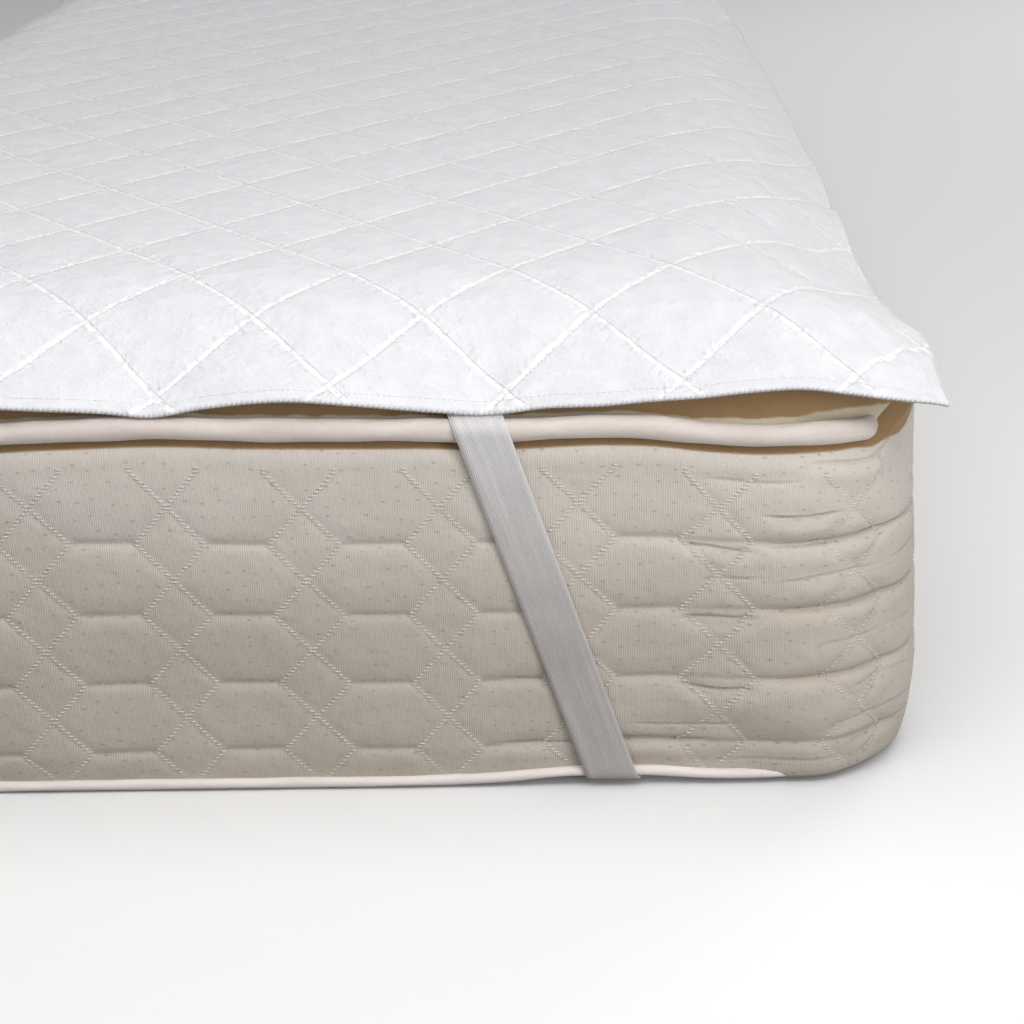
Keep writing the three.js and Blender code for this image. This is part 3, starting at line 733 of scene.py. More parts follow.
def make_panel_painted_shade():
    """The top panel's cloth: painted dark tan as painted shade under the hem's overhang, with a cream strip
    beside the piping where the light reaches it.
    """
    material, tree, surface, cloth = start_material("mattress_panel_painted_shade", 0.8, 0.1)
    tone = use_effect(
        tree, SOFT_MOTTLE, Cloth=cloth,
        Light=(0.50, 0.33, 0.17, 1), Dark=(0.42, 0.265, 0.13, 1), Patch_Scale=20.0,
    )
    ribs = use_effect(tree, RIBS, Cloth=cloth, Rib_Pitch=0.0017)
    rib_share = calculate(tree, "MULTIPLY", ribs["Shade"], 0.2)
    ribbed = mix_colours(tree, rib_share, tone["Color"], (0.66, 0.48, 0.28, 1))
    # Painted light and shade: cream in the strip beside the piping that the light reaches, dark tan beyond it
    # in the hem's shade.
    above_shade_edge = add_node(tree, "ShaderNodeAttribute", attribute_name="above_painted_shade").outputs["Fac"]
    lit_strip_reach = calculate(tree, "MULTIPLY_ADD", noise(tree, cloth, 50.0, 2.0), 0.005, above_shade_edge)
    seam = mix_colours(tree, between(tree, lit_strip_reach, 0.0174, 0.0190), (0.80, 0.72, 0.54, 1), ribbed)
    wire(tree, surface.inputs["Base Color"], seam)
    raise_surface(tree, surface, [(ribs["Height"], 0.0001)])
    return material


def make_base_cloth():
    material, tree, surface, cloth = start_material("mattress_base_cloth", 0.9, 0.05)
    tone = use_effect(
        tree, SOFT_MOTTLE, Cloth=cloth,
        Light=(0.50, 0.46, 0.40, 1), Dark=(0.42, 0.38, 0.32, 1), Patch_Scale=25.0,
    )
    weave = use_effect(tree, PLAIN_WEAVE, Cloth=cloth, Thread_Pitch=0.00025)
    wire(tree, surface.inputs["Base Color"], tone["Color"])
    raise_surface(tree, surface, [(weave["Height"], 0.00015)])
    return material


def make_piping_tape(name, light, dark):
    material, tree, surface, cloth = start_material(name, 0.58, 0.2)
    tone = use_effect(tree, SOFT_MOTTLE, Cloth=cloth, Light=light, Dark=dark, Patch_Scale=18.0)
    twill = use_effect(tree, RIBS, Cloth=cloth, Rib_Pitch=0.0011, Slant=1.0)
    wire(tree, surface.inputs["Base Color"], tone["Color"])
    crumple = noise(tree, cloth, 110.0, 3.0)
    raise_surface(tree, surface, [(crumple, 0.0008), (twill["Height"], 0.00010)])
    return material


def make_woven_elastic():
    """Ribbed elastic: fine lengthwise cords, some streaks lighter than others, and pale edges, with painted
    shade darkening it lower down.
    """
    material, tree, surface, cloth = start_material("woven_elastic", 0.66, 0.25)
    light = (0.72, 0.70, 0.705, 1)
    dark = (0.63, 0.61, 0.615, 1)
    tone = use_effect(tree, SOFT_MOTTLE, Cloth=cloth, Light=light, Dark=dark, Patch_Scale=30.0)
    ribs = use_effect(tree, RIBS, Cloth=cloth, Rib_Pitch=0.00125, Uneven=1.2)
    rib_share = calculate(tree, "MULTIPLY", ribs["Shade"], 0.35)
    ribbed = mix_colours(tree, rib_share, tone["Color"], (0.76, 0.74, 0.73, 1))
    parts = add_node(tree, "ShaderNodeSeparateXYZ", {"Vector": cloth})
    drawn_out = add_node(tree, "ShaderNodeCombineXYZ", {"X": parts.outputs["X"]})
    wire(tree, drawn_out.inputs["Y"], calculate(tree, "MULTIPLY", parts.outputs["Y"], 0.03))
    streaks = noise(tree, drawn_out.outputs[0], 230.0, 2.0)
    streak_share = calculate(tree, "MULTIPLY", between(tree, streaks, 0.5, 0.75, "LINEAR"), 0.6)
    streaked = mix_colours(tree, streak_share, ribbed, (0.84, 0.82, 0.82, 1))
    off_middle = calculate(tree, "ABSOLUTE", parts.outputs["X"])
    selvedge_width = 0.0011
    selvedge = calculate(tree, "GREATER_THAN", off_middle, BAND_WIDTH / 2 * MM - selvedge_width)
    edged = mix_colours(tree, calculate(tree, "MULTIPLY", selvedge, 0.6), streaked, (0.84, 0.82, 0.83, 1))
    # Painted shade: the band darkens the further it runs down from the hem, towards its middle under the
    # mattress.
    middle_of_band = 0.41
    from_middle = calculate(tree, "SUBTRACT", parts.outputs["Y"], middle_of_band)
    from_middle = calculate(tree, "ABSOLUTE", from_middle)
    painted_shade_low_down = between(tree, from_middle, 0.4, 0.2)
    with_painted_shade = mix_colours(tree, painted_shade_low_down, edged, (0.68, 0.655, 0.63, 1), "MULTIPLY")
    wire(tree, surface.inputs["Base Color"], with_painted_shade)
    raise_surface(tree, surface, [(streaks, 0.0006), (ribs["Height"], 0.00022)])
    return material


QUILTED_COTTON = make_quilted_cotton()
WHITE_THREAD = make_thread("white_thread", (0.93, 0.93, 0.94, 1), (0.88, 0.88, 0.90, 1))
CREAM_THREAD = make_thread("cream_thread", (0.77, 0.73, 0.68, 1), (0.68, 0.63, 0.57, 1))
TICKING = make_ticking()
PANEL_PAINTED_SHADE = make_panel_painted_shade()
BASE_CLOTH = make_base_cloth()
TOP_PIPING_TAPE = make_piping_tape("top_piping_tape", (0.79, 0.71, 0.665, 1), (0.70, 0.61, 0.55, 1))
BOTTOM_PIPING_TAPE = make_piping_tape("bottom_piping_tape", (0.92, 0.84, 0.81, 1), (0.84, 0.76, 0.73, 1))
WOVEN_ELASTIC = make_woven_elastic()


# ---- the mattress cover: quilted border, top panel and underside as one closed skin ----

# Grid lines between a crossing, at 0, and the crease or the hexagon's end beside it, at 1.
SHARES_TO_CREASE = np.array([0, 0.26, 0.5, 0.71, 0.88])
LINES_IN_HEXAGON = 8

BORDER_INSET = [
    [0, 5.3], [4, 1.2], [10.5, -0.4], [60, -2.8], [118, -4], [175, -4.4], [208, -4.4],
    [217, -4.1], [222, -2.8], [225, -0.4], [227.5, 6],
]
CORNER_INSET = [
    [0, -5], [4, -8], [10, -9.5], [20, -11.5], [40, -13], [70, -12], [120, -10], [160, -8], [200, -6],
    [214, -5.4], [222, -3.4], [225, -0.5], [227.5, 5],
]
BORDER_TOP = 227.5
BORDER_RELIEF = 3.3
# Lower edge of the painted shade: above it the border is painted dark brown, for the shade in the groove
# under the top piping.
PAINTED_SHADE_EDGE = 223.2

# At each corner's shoulder the border rises and puffs out, and the crown comes out to meet it.
SHOULDER_RISE = 24
SHOULDER_PUFF = 10
CROWN_COMES_OUT = 13
CROWN_RISE = 12

# How far the lower edge of the painted shade under the top piping falls in the round of a corner: [share
# turned to the long side, fall]
PAINTED_SHADE_FALL = [[0, 0], [0.4, 0], [0.62, 0], [0.7, 2], [0.8, 12], [0.87, 13], [0.94, 10], [1, 7]]
UNDERSIDE_INSETS = [60, 46, 32, 20, 11]
CROWN_INSETS = [10, 22, 38, 56, 75, 97, 120, 155, 200]


def quilting_place(run, flat_height):
    """Where a place on the border lies in the repeat: from the middle of its hexagon."""
    across = ((run - FIRST_CROSSING_RUN) / COLUMN_PITCH) % 1 * COLUMN_PITCH - COLUMN_PITCH / 2
    up = ((flat_height - FIRST_CROSSING_HEIGHT + CREASE_TO_CROSSING) / ROW_PITCH) % 1 * ROW_PITCH
    return across, up - CREASE_TO_CROSSING


def border_fullness(run, flat_height):
    """How far the filling pushes the ticking out: 0 in a crease, 1 in the middle of a hexagon."""
    across, up = quilting_place(run, flat_height)
    half = COLUMN_PITCH / 2 - BORDER_DIAMOND_HALF * np.abs(up) / CREASE_TO_CROSSING
    lean = CREASE_TO_CROSSING / math.hypot(CREASE_TO_CROSSING, BORDER_DIAMOND_HALF)
    off_line = (half - np.abs(across)) * lean
    below_crease = CREASE_TO_CROSSING - up
    above_crease = CREASE_TO_CROSSING + up
    tight = 1 - smooth_step(78, 198, from_corner(run))
    in_hexagon = 1 - 0.5 * np.exp(-below_crease / 2) - 0.5 * np.exp(-above_crease / 6)
    in_hexagon = in_hexagon - 0.2 * (np.abs(up) / CREASE_TO_CROSSING) ** 3
    in_hexagon = in_hexagon * (1 - 0.36 * np.exp(-off_line / 3.5))
    pressed = 0.5 * np.exp(-below_crease / 2) + 0.5 * np.exp(-above_crease / 4)
    in_diamond = (1 - 0.4 * np.exp(off_line / 3.5)) * (1 - tight * pressed)
    full = np.where(off_line > 0, in_hexagon, 0.84 * in_diamond)
    fades = smooth_step(0, 12, flat_height) * (1 - 0.9 * smooth_step(180, 212, flat_height))
    return 1 - (1 - full) * fades


def border_wrinkles(run, flat_height):
    reach = from_corner(run)
    depth = np.zeros_like(reach)
    for distance, height, half_length, deep, rise in BORDER_WRINKLES:
        share = (distance - reach) / half_length
        line = height + rise * share + 0.8 * np.sin(share * 3 + distance)
        ends = np.exp(-(share ** 4))
        off = flat_height - line
        depth += deep * ends * (hump(off, 0, 3.2) - 0.45 * hump(off, -7, 5))
    return depth


def border_point(run, flat_height):
    """A place on the border, from the run along the edge and the height on the flat cloth."""
    shoulder = corner_shoulder(run)
    low = 1 - smooth_step(20, 60, flat_height)
    corner = corner_share(run) * (1 - low) + (1 - smooth_step(50, 105, from_corner(run))) * low
    middle = smooth_step(4, 30, flat_height) * (1 - smooth_step(195, 222, flat_height))
    up_share = smooth_step(110, 224, flat_height)
    down_share = 1 - smooth_step(8, 110, flat_height)
    height = flat_height + top_wave(run) * up_share + bottom_lift(run) * down_share
    height = height + 0.9 * ripple(run, 17, flat_height / 60) * middle
    height = height + SHOULDER_RISE * shoulder * smooth_step(185, 225, flat_height)
    pull = (1 + 0.45 * (1 - smooth_step(98, 248, from_corner(run)))) * (1 - 0.8 * shoulder)
    relief = BORDER_RELIEF * pull * (1 - border_fullness(run, flat_height))
    relief = relief + border_wrinkles(run, flat_height) * (1 - 0.8 * shoulder)
    slack = 0.7 * ripple(run, 10, flat_height / 47) + 0.4 * ripple(run, 28, flat_height / 38)
    straight = smooth_value(BORDER_INSET, flat_height)
    rounded = smooth_value(CORNER_INSET, flat_height)
    rounded = rounded - SHOULDER_PUFF * shoulder * smooth_step(212, 225, flat_height)
    inset = straight + (rounded - straight) * corner + relief + slack * middle * (1 - shoulder)
    along = 0.9 * ripple(run, 14, flat_height / 90) + 0.6 * ripple(run, 37, 2)
    x, y, _ = edge_place(run + along, inset)
    return np.stack([x, y, height], axis=-1)


def crown_point(run, inset):
    shoulder = corner_shoulder(run) * (1 - smooth_step(10, 55, inset))
    inset = inset - CROWN_COMES_OUT * shoulder
    x, y, _ = edge_place(run, inset)
    wave = top_wave(run) * (1 - smooth_step(0, 60, inset)) * (1 - shoulder)
    height = smooth_value(CROWN, distance_in(x, y)) + wave + CROWN_RISE * shoulder
    return np.stack([x, y, height], axis=-1)


def underside_point(run, inset):
    x, y, _ = edge_place(run, inset - 8 * corner_share(run) * (1 - inset / 60))
    raised = 2.2 * (1 - smooth_step(203, 250, from_corner(run))) * (1 - smooth_step(48, 60, inset))
    height = raised + bottom_lift(run) * (1 - smooth_step(0, 22, inset)) * 0.6
    return np.stack([x, y, np.minimum(height, raised + 1.5)], axis=-1)


def split_along_lines(work, rising):
    """Cuts every square face in two, so that the cut runs along the quilting line through it."""
    work.faces.ensure_lookup_table()
    faces = list(work.faces)
    up_faces = [face for face, is_up in zip(faces, rising) if is_up]
    down_faces = [face for face, is_up in zip(faces, rising) if not is_up]
    bmesh.ops.triangulate(work, faces=up_faces, quad_method="FIXED")
    bmesh.ops.triangulate(work, faces=down_faces, quad_method="ALTERNATE")


def lower_left_corners(mesh, column, row):
    """The column and row of each square face's lower left corner."""
    corners = np.empty(len(mesh.loops), int)
    mesh.loops.foreach_get("vertex_index", corners)
    corners = corners.reshape(-1, 4)
    return column[corners].min(axis=1), row[corners].min(axis=1)


def border_runs():
    """Runs of the grid's upright lines, from the middle of the head end all the way round."""
    beside = BORDER_DIAMOND_HALF * SHARES_TO_CREASE
    hexagon = np.linspace(BORDER_DIAMOND_HALF, COLUMN_PITCH - BORDER_DIAMOND_HALF, LINES_IN_HEXAGON)
    in_pitch = np.concatenate([beside, hexagon, COLUMN_PITCH - beside[:0:-1]])
    pitches = BORDER_PITCHES // 2 + np.arange(BORDER_PITCHES)
    runs = FIRST_CROSSING_RUN + (pitches[:, None] * COLUMN_PITCH + in_pitch).ravel()
    return np.append(runs, runs[0] + EDGE_LENGTH), len(in_pitch)


def border_heights():
    """Heights of the grid's level lines on the flat border, and how many there are to a crossing's height."""
    up = np.concatenate([SHARES_TO_CREASE, [1], 2 - SHARES_TO_CREASE[:0:-1]]) * CREASE_TO_CROSSING
    repeats = np.arange(5)
    heights = FIRST_CROSSING_HEIGHT + (repeats[:, None] * ROW_PITCH + up).ravel()
    heights = heights[heights < BORDER_TOP - 1]
    return np.concatenate([[0], heights, [BORDER_TOP]]), len(up)


def make_mattress_cover():
    runs, lines_in_pitch = border_runs()
    heights_on_border, lines_in_repeat = border_heights()
    underside_rows = len(UNDERSIDE_INSETS)
    rows = underside_rows + len(heights_on_border) + len(CROWN_INSETS) - 1
    mesh, column, row = cut_cloth(len(runs) - 1, rows)
    run = runs[column]
    in_border = row - underside_rows
    in_crown = in_border - len(heights_on_border)
    heights = heights_on_border[np.clip(in_border, 0, len(heights_on_border) - 1)]
    points = border_point(run, heights)
    flat_height = heights.copy()
    below = in_border < 0
    insets = np.array(UNDERSIDE_INSETS, float)[np.clip(row, 0, underside_rows - 1)]
    points[below] = underside_point(run[below], insets[below])
    flat_height[below] = -insets[below]
    above = in_crown >= 0
    crown_insets = np.array(CROWN_INSETS, float)[np.clip(in_crown, 0, len(CROWN_INSETS) - 1)]
    points[above] = crown_point(run[above], crown_insets[above])
    flat_height[above] = BORDER_TOP + crown_insets[above]
    points[:, 2] = np.maximum(points[:, 2], 0)
    bend_cloth(mesh, points, np.stack([run, flat_height], axis=-1))
    # Where the painted shade under the top piping begins; it falls lower in the round of each corner.
    turned = np.abs(np.cos(edge_place(run, 0)[2]))
    painted_shade_edge = PAINTED_SHADE_EDGE - smooth_value(PAINTED_SHADE_FALL, turned) * corner_share(run)
    note_on_cloth(mesh, "above_painted_shade", (flat_height - painted_shade_edge) * MM)
    note_on_cloth(mesh, "from_corner", from_corner(run) * MM)

    face_column, face_row = lower_left_corners(mesh, column, row)
    border_row = face_row - underside_rows - 1
    right_of_crossing = face_column % lines_in_pitch < lines_in_pitch / 2
    above_crossing = border_row % lines_in_repeat < lines_in_repeat / 2
    rising = right_of_crossing == above_crossing
    on_crown = face_row >= underside_rows + len(heights_on_border) - 1
    parts = np.where(border_row < 0, 2, np.where(on_crown, 1, 0))
    mesh.polygons.foreach_set("material_index", parts.astype(np.int32))

    work = bmesh.new()
    work.from_mesh(mesh)
    split_along_lines(work, rising)
    bmesh.ops.remove_doubles(work, verts=work.verts, dist=1e-6)
    open_edges = [edge for edge in work.edges if edge.is_boundary]
    closed = bmesh.ops.holes_fill(work, edges=open_edges, sides=0)
    layer = work.loops.layers.uv["cloth"]
    for face in closed["faces"]:
        face.material_index = 1 if face.calc_center_median().z > 0.1 else 2
        for loop in face.loops:
            loop[layer].uv = loop.vert.co.xy
    bmesh.ops.recalc_face_normals(work, faces=work.faces)
    work.to_mesh(mesh)
    work.free()
    return make_piece(
        "mattress_cover", mesh, [TICKING, PANEL_PAINTED_SHADE, BASE_CLOTH],
        replaces=["mattress_body"],
    )


def make_border_stitches():
    """Short level stitches that climb both sides of every diamond on the border."""
    heights = np.arange(4.25, STITCHED_UP_TO / STITCH_CLIMB) * STITCH_CLIMB
    crossing = FIRST_CROSSING_RUN + COLUMN_PITCH * np.arange(BORDER_PITCHES)
    places = []
    tilts = []
    for side in (-1, 1):
        crossing_run, height = np.meshgrid(crossing, heights)
        turn = (height - FIRST_CROSSING_HEIGHT) / CREASE_TO_CROSSING
        away = np.abs((turn + 1) % 2 - 1)
        widening = np.sign((turn + 1) % 2 - 1)
        run = crossing_run + side * BORDER_DIAMOND_HALF * away
        places.append(np.stack([run.ravel(), height.ravel()], axis=-1))
        tilts.append((side * widening).ravel())
    run, height = np.concatenate(places).T
    tilt = 0.16 * np.concatenate(tilts) + 0.08 * np.sin(run * 1.7 + height)
    point = border_point(run, height)
    along = border_point(run + 2, height) - border_point(run - 2, height)
    upward = border_point(run, height + 2) - border_point(run, height - 2)
    outward = unit(np.cross(along, upward))
    way = along + upward * tilt[:, None]
    mesh = sew_many(point + outward * BORDER_STITCH_LIFT, way, outward, BORDER_STITCH)
    return make_piece("border_stitches", mesh, [CREAM_THREAD])


# ---- pipings ----

def make_piping(name, radius, height_of, tuck_of, material, replaces):
    """A cord sewn into a folded tape, run round the whole edge."""
    stations = 1300
    sides = 12
    mesh, column, row = cut_cloth(stations, sides)
    run = EDGE_LENGTH / 2 + column * EDGE_LENGTH / stations
    angle = row * 2 * math.pi / sides
    uneven = 1 + 0.05 * ripple(run, 51) + 0.04 * ripple(run, 119, 1.1)
    drawn_in = 1 - PIPING_NARROWS * corner_shoulder(run)
    out = radius * drawn_in * uneven * np.cos(angle)
    up = radius * drawn_in * (2 - uneven) * np.sin(angle)
    x, y, turn = edge_place(run, tuck_of(run))
    points = np.stack([x + out * np.cos(turn), y + out * np.sin(turn), height_of(run) + up], axis=-1)
    bend_cloth(mesh, points, np.stack([run, angle * radius], axis=-1))
    work = bmesh.new()
    work.from_mesh(mesh)
    bmesh.ops.remove_doubles(work, verts=work.verts, dist=1e-6)
    bmesh.ops.recalc_face_normals(work, faces=work.faces)
    work.to_mesh(mesh)
    work.free()
    return make_piece(name, mesh, [material], replaces=replaces)


def make_pipings():
    make_piping(
        "top_piping_tape", TOP_PIPING_RADIUS,
        lambda run: TOP_PIPING_HEIGHT + top_wave(run),
        lambda run: TOP_PIPING_TUCK * corner_shoulder(run),
        TOP_PIPING_TAPE, ["top_piping"],
    )
    make_piping(
        "bottom_piping_tape", BOTTOM_PIPING_RADIUS,
        lambda run: BOTTOM_PIPING_HEIGHT + bottom_lift(run),
        lambda run: BOTTOM_PIPING_TUCK - BOTTOM_PIPING_TUCK * smooth_step(40, 74, from_corner(run)),
        BOTTOM_PIPING_TAPE, ["bottom_piping"],
    )


# ---- the quilted cover ----

SLOPE_DISTANCES = np.arange(0, SLOPE_END + 1)
USUAL_RISE = PAD_TOP - HEM_HEIGHT[-1][1] - HEM_THICKNESS


def share_up(distance):
    return np.clip(smooth_value(SLOPE_SHARE, distance), 0, 1)


SLOPE_LENGTHS = np.concatenate([[0], np.cumsum(np.hypot(1, USUAL_RISE * np.diff(share_up(SLOPE_DISTANCES))))])
SLOPE_CLOTH = SLOPE_LENGTHS[-1]
HALF_WIDTH_FLAT = SIDE_REACH - SLOPE_END + SLOPE_CLOTH
HALF_LENGTH_FLAT = FOOT_REACH - SLOPE_END + SLOPE_CLOTH


def place_on_slope(along, hem_at):
    """Place across the mattress of a line on the flat cloth."""
    beyond = np.abs(along) - (hem_at - SLOPE_END)
    distance = np.interp(SLOPE_CLOTH - beyond, SLOPE_LENGTHS, SLOPE_DISTANCES)
    past_hem = np.maximum(beyond - SLOPE_CLOTH, 0)
    return np.where(beyond <= 0, along, np.sign(along) * (hem_at - distance + past_hem))


def hems_beside(x, y):
    """Where the two hems lie beside a place: their reach and the height of their lower edge."""
    along_foot = np.maximum(PAD_CORNER_X - np.abs(x), 0)
    along_side = np.maximum(HALF_LENGTH - np.abs(y), 0)
    from_nearest = smooth_value(HEM_HEIGHT, along_foot)
    from_right = smooth_value(HEM_HEIGHT, np.maximum(PAD_CORNER_X - x, 0))
    share = (1 - smooth_step(-70, 0, y)) * smooth_step(-128, -48, x)
    foot = HALF_LENGTH + smooth_value(HEM_REACH, along_foot, 1)
    side = PAD_CORNER_X + smooth_value(HEM_REACH, along_side, 2)
    foot_height = from_nearest + (from_right - from_nearest) * share
    return foot, side, foot_height, smooth_value(HEM_HEIGHT, along_side)


def corner_fold(x, y):
    """The soft fold that runs out to each corner of the pad, with a hollow beside it."""
    in_x = PAD_CORNER_X - np.abs(x)
    in_y = HALF_LENGTH - np.abs(y)
    start = np.array([42.0, 92.0])
    end = np.array([-3.0, -10.0])
    way = end - start
    length = np.hypot(*way)
    way = way / length
    along = (in_x - start[0]) * way[0] + (in_y - start[1]) * way[1]
    off = (in_x - start[0]) * way[1] - (in_y - start[1]) * way[0]
    off = off + 3.0 * np.sin(along / 16.0)
    there = smooth_step(-30, 25, along)
    return there * (3.2 * hump(off, 0, 6.5) - 3.0 * hump(off, -15, 9))


def diamond_fullness(u, v):
    """0 on a quilting line, 1 in the middle of a diamond."""
    across = (u - CROSSING_X) / DIAMOND_HALF_WIDTH
    ahead = (v - CROSSING_V) / DIAMOND_HALF_LENGTH
    one = np.abs(np.sin(math.pi * (across + ahead) / 2))
    other = np.abs(np.sin(math.pi * (across - ahead) / 2))
    return (one * other) ** 0.7


def cover_shape(u, v):
    """Place of the cover's upper face for a place on the flat cloth, and how thick the cover is there."""
    x = place_on_slope(u, SIDE_REACH)
    y = place_on_slope(v, FOOT_REACH)
    foot, side, foot_height, side_height = hems_beside(x, y)
    near_side = 1 - smooth_step(0, EDGE_REACH, SIDE_REACH - np.abs(x))
    near_foot = 1 - smooth_step(0, EDGE_REACH, FOOT_REACH - np.abs(y))
    x = x + np.sign(x) * (side - SIDE_REACH) * near_side
    y = y + np.sign(y) * (foot - FOOT_REACH) * near_foot
    from_side_hem = side - np.abs(x)
    from_foot_hem = foot - np.abs(y)
    from_hem = np.minimum(from_side_hem, from_foot_hem)
    filled = smooth_step(0, HEM_TAPER, from_hem)

    low_foot = foot_height + HEM_THICKNESS
    low_side = side_height + HEM_THICKNESS
    from_foot = low_foot + (PAD_TOP - low_foot) * share_up(from_foot_hem)
    from_side = low_side + (PAD_TOP - low_side) * share_up(from_side_hem)
    hip = soft_min(from_foot, from_side, 7)
    inward = distance_in(x, y)
    settled = smooth_step(SETTLES_FROM, SETTLED_AT, inward)
    space = OVER_SLOPE + (OVER_MATTRESS - OVER_SLOPE) * settled
    held = smooth_value(CROWN, np.maximum(inward, 10)) + space + PAD_THICKNESS
    held = np.where(inward <= 0, hip, np.minimum(held, PAD_TOP))
    height = np.where(inward <= 0, hip, soft_max(hip, held, 2))

    full = diamond_fullness(u, v)
    dip = STITCH_DIP * (1 - full) * filled
    hem_seam = 0.7 * hump(from_hem, HEM_SEAM_INSIDE, 2.6)
    slack = 0.5 * np.sin(u / 71.0 + 1.7 * np.sin(v / 113.0)) * np.sin(v / 89.0 + 0.6)
    height = height - dip - hem_seam + slack * filled + corner_fold(x, y) * smooth_step(-2, 14, from_hem)
    thickness = HEM_THICKNESS + (PAD_THICKNESS - HEM_THICKNESS) * filled - dip * 0.8 - hem_seam
    return np.stack([x, y, height], axis=-1), thickness


def cover_frame(u, v):
    """Point on the cover's upper face, the two ways along the cloth there, and the way that faces out."""
    point, thickness = cover_shape(u, v)
    small = 0.6
    along_u = cover_shape(u + small, v)[0] - cover_shape(u - small, v)[0]
    along_v = cover_shape(u, v + small)[0] - cover_shape(u, v - small)[0]
    outward = unit(np.cross(along_u, along_v))
    return point, along_u / (2 * small), along_v / (2 * small), outward, thickness


HEM_LINES = [0, 2.5, 5.5, HEM_SEAM_INSIDE, 12.5, 17]
QUILTING_LINES_STOP = 21


def sewing_lines(first, step, half_size):
    """Grid lines on the flat cloth: along the quilting inside, and close together by the hem."""
    before = math.ceil((-half_size - first) / step)
    after = int((half_size - first) / step)
    inner = first + step * np.arange(before, after + 1)
    inner = inner[np.abs(inner) < half_size - QUILTING_LINES_STOP]
    hem = half_size - np.array(HEM_LINES, float)
    return np.concatenate([-hem, inner, hem[::-1]])


def make_quilted_cover():
    lines_u = sewing_lines(CROSSING_X, DIAMOND_HALF_WIDTH / 8, HALF_WIDTH_FLAT)
    lines_v = sewing_lines(CROSSING_V, DIAMOND_HALF_LENGTH / 8, HALF_LENGTH_FLAT)
    mesh, column, row = cut_cloth(len(lines_u) - 1, len(lines_v) - 1)
    u = lines_u[column]
    v = lines_v[row]
    point, _, _, outward, thickness = cover_frame(u, v)
    bend_cloth(mesh, point, np.stack([u, v], axis=-1))

    face_column, face_row = lower_left_corners(mesh, column, row)
    middle_u = (lines_u[face_column] + lines_u[face_column + 1]) / 2
    middle_v = (lines_v[face_row] + lines_v[face_row + 1]) / 2
    across = (middle_u - CROSSING_X) / DIAMOND_HALF_WIDTH
    ahead = (middle_v - CROSSING_V) / DIAMOND_HALF_LENGTH
    off_falling = np.abs((across + ahead) / 2 - np.rint((across + ahead) / 2))
    off_rising = np.abs((across - ahead) / 2 - np.rint((across - ahead) / 2))
    work = bmesh.new()
    work.from_mesh(mesh)
    split_along_lines(work, off_rising < off_falling)
    filling = work.verts.layers.deform.new()
    work.verts.ensure_lookup_table()
    for vertex, share in zip(work.verts, thickness * outward[:, 2] / PAD_THICKNESS):
        vertex[filling][0] = float(share)
    work.to_mesh(mesh)
    work.free()
    cover = make_piece(
        "quilted_cover", mesh, [QUILTED_COTTON], replaces=["quilted_panel"],
    )
    cover.vertex_groups.new(name="filling")
    backing = cover.modifiers.new("backing", "SOLIDIFY")
    backing.thickness = PAD_THICKNESS * MM
    backing.offset = -1
    backing.vertex_group = "filling"
    return cover


def make_quilting_stitches():
    """A run of stitches along every quilting line."""
    pitch = QUILTING_STITCH_PITCH
    side = math.hypot(DIAMOND_HALF_WIDTH, DIAMOND_HALF_LENGTH)
    start = (CROSSING_X, CROSSING_V)
    step = np.array([DIAMOND_HALF_WIDTH, DIAMOND_HALF_LENGTH]) / side * pitch
    reach = math.hypot(HALF_WIDTH_FLAT, HALF_LENGTH_FLAT) * 1.3
    count = int(reach / pitch)
    numbers = np.arange(-count, count + 1)
    lines = np.arange(-60, 61)
    flat = []
    ways = []
    for slope in (1, -1):
        line, number = np.meshgrid(lines, numbers)
        u = start[0] + 2 * DIAMOND_HALF_WIDTH * line + step[0] * number
        v = start[1] + slope * step[1] * number
        flat.append(np.stack([u.ravel(), v.ravel()], axis=-1))
        ways.append(np.tile([step[0], slope * step[1]], (u.size, 1)))
    flat = np.concatenate(flat)
    ways = np.concatenate(ways)
    on_cloth = (np.abs(flat[:, 0]) < HALF_WIDTH_FLAT - 4) & (np.abs(flat[:, 1]) < HALF_LENGTH_FLAT - 4)
    u, v = flat[on_cloth].T
    way = ways[on_cloth]
    point, along_u, along_v, outward, _ = cover_frame(u, v)
    along = along_u * way[:, :1] + along_v * way[:, 1:]
    mesh = sew_many(point + outward * QUILTING_STITCH_LIFT, along, outward, QUILTING_STITCH)
    return make_piece("quilting_stitches", mesh, [WHITE_THREAD])


def hem_walk(inside, pitch):
    """Places on the flat cloth a given way in from the hem, one pitch apart, and the way the hem runs."""
    half_u = HALF_WIDTH_FLAT - inside
    half_v = HALF_LENGTH_FLAT - inside
    corners = np.array([[-1, -1], [1, -1], [1, 1], [-1, 1], [-1, -1]]) * [half_u, half_v]
    places = []
    ways = []
    for here, after in zip(corners[:-1], corners[1:]):
        length = np.linalg.norm(after - here)
        count = int(length / pitch)
        shares = (np.arange(count) + 0.5) / count
        places.append(here + (after - here) * shares[:, None])
        ways.append(np.tile((after - here) / length, (count, 1)))
    return np.concatenate(places), np.concatenate(ways)


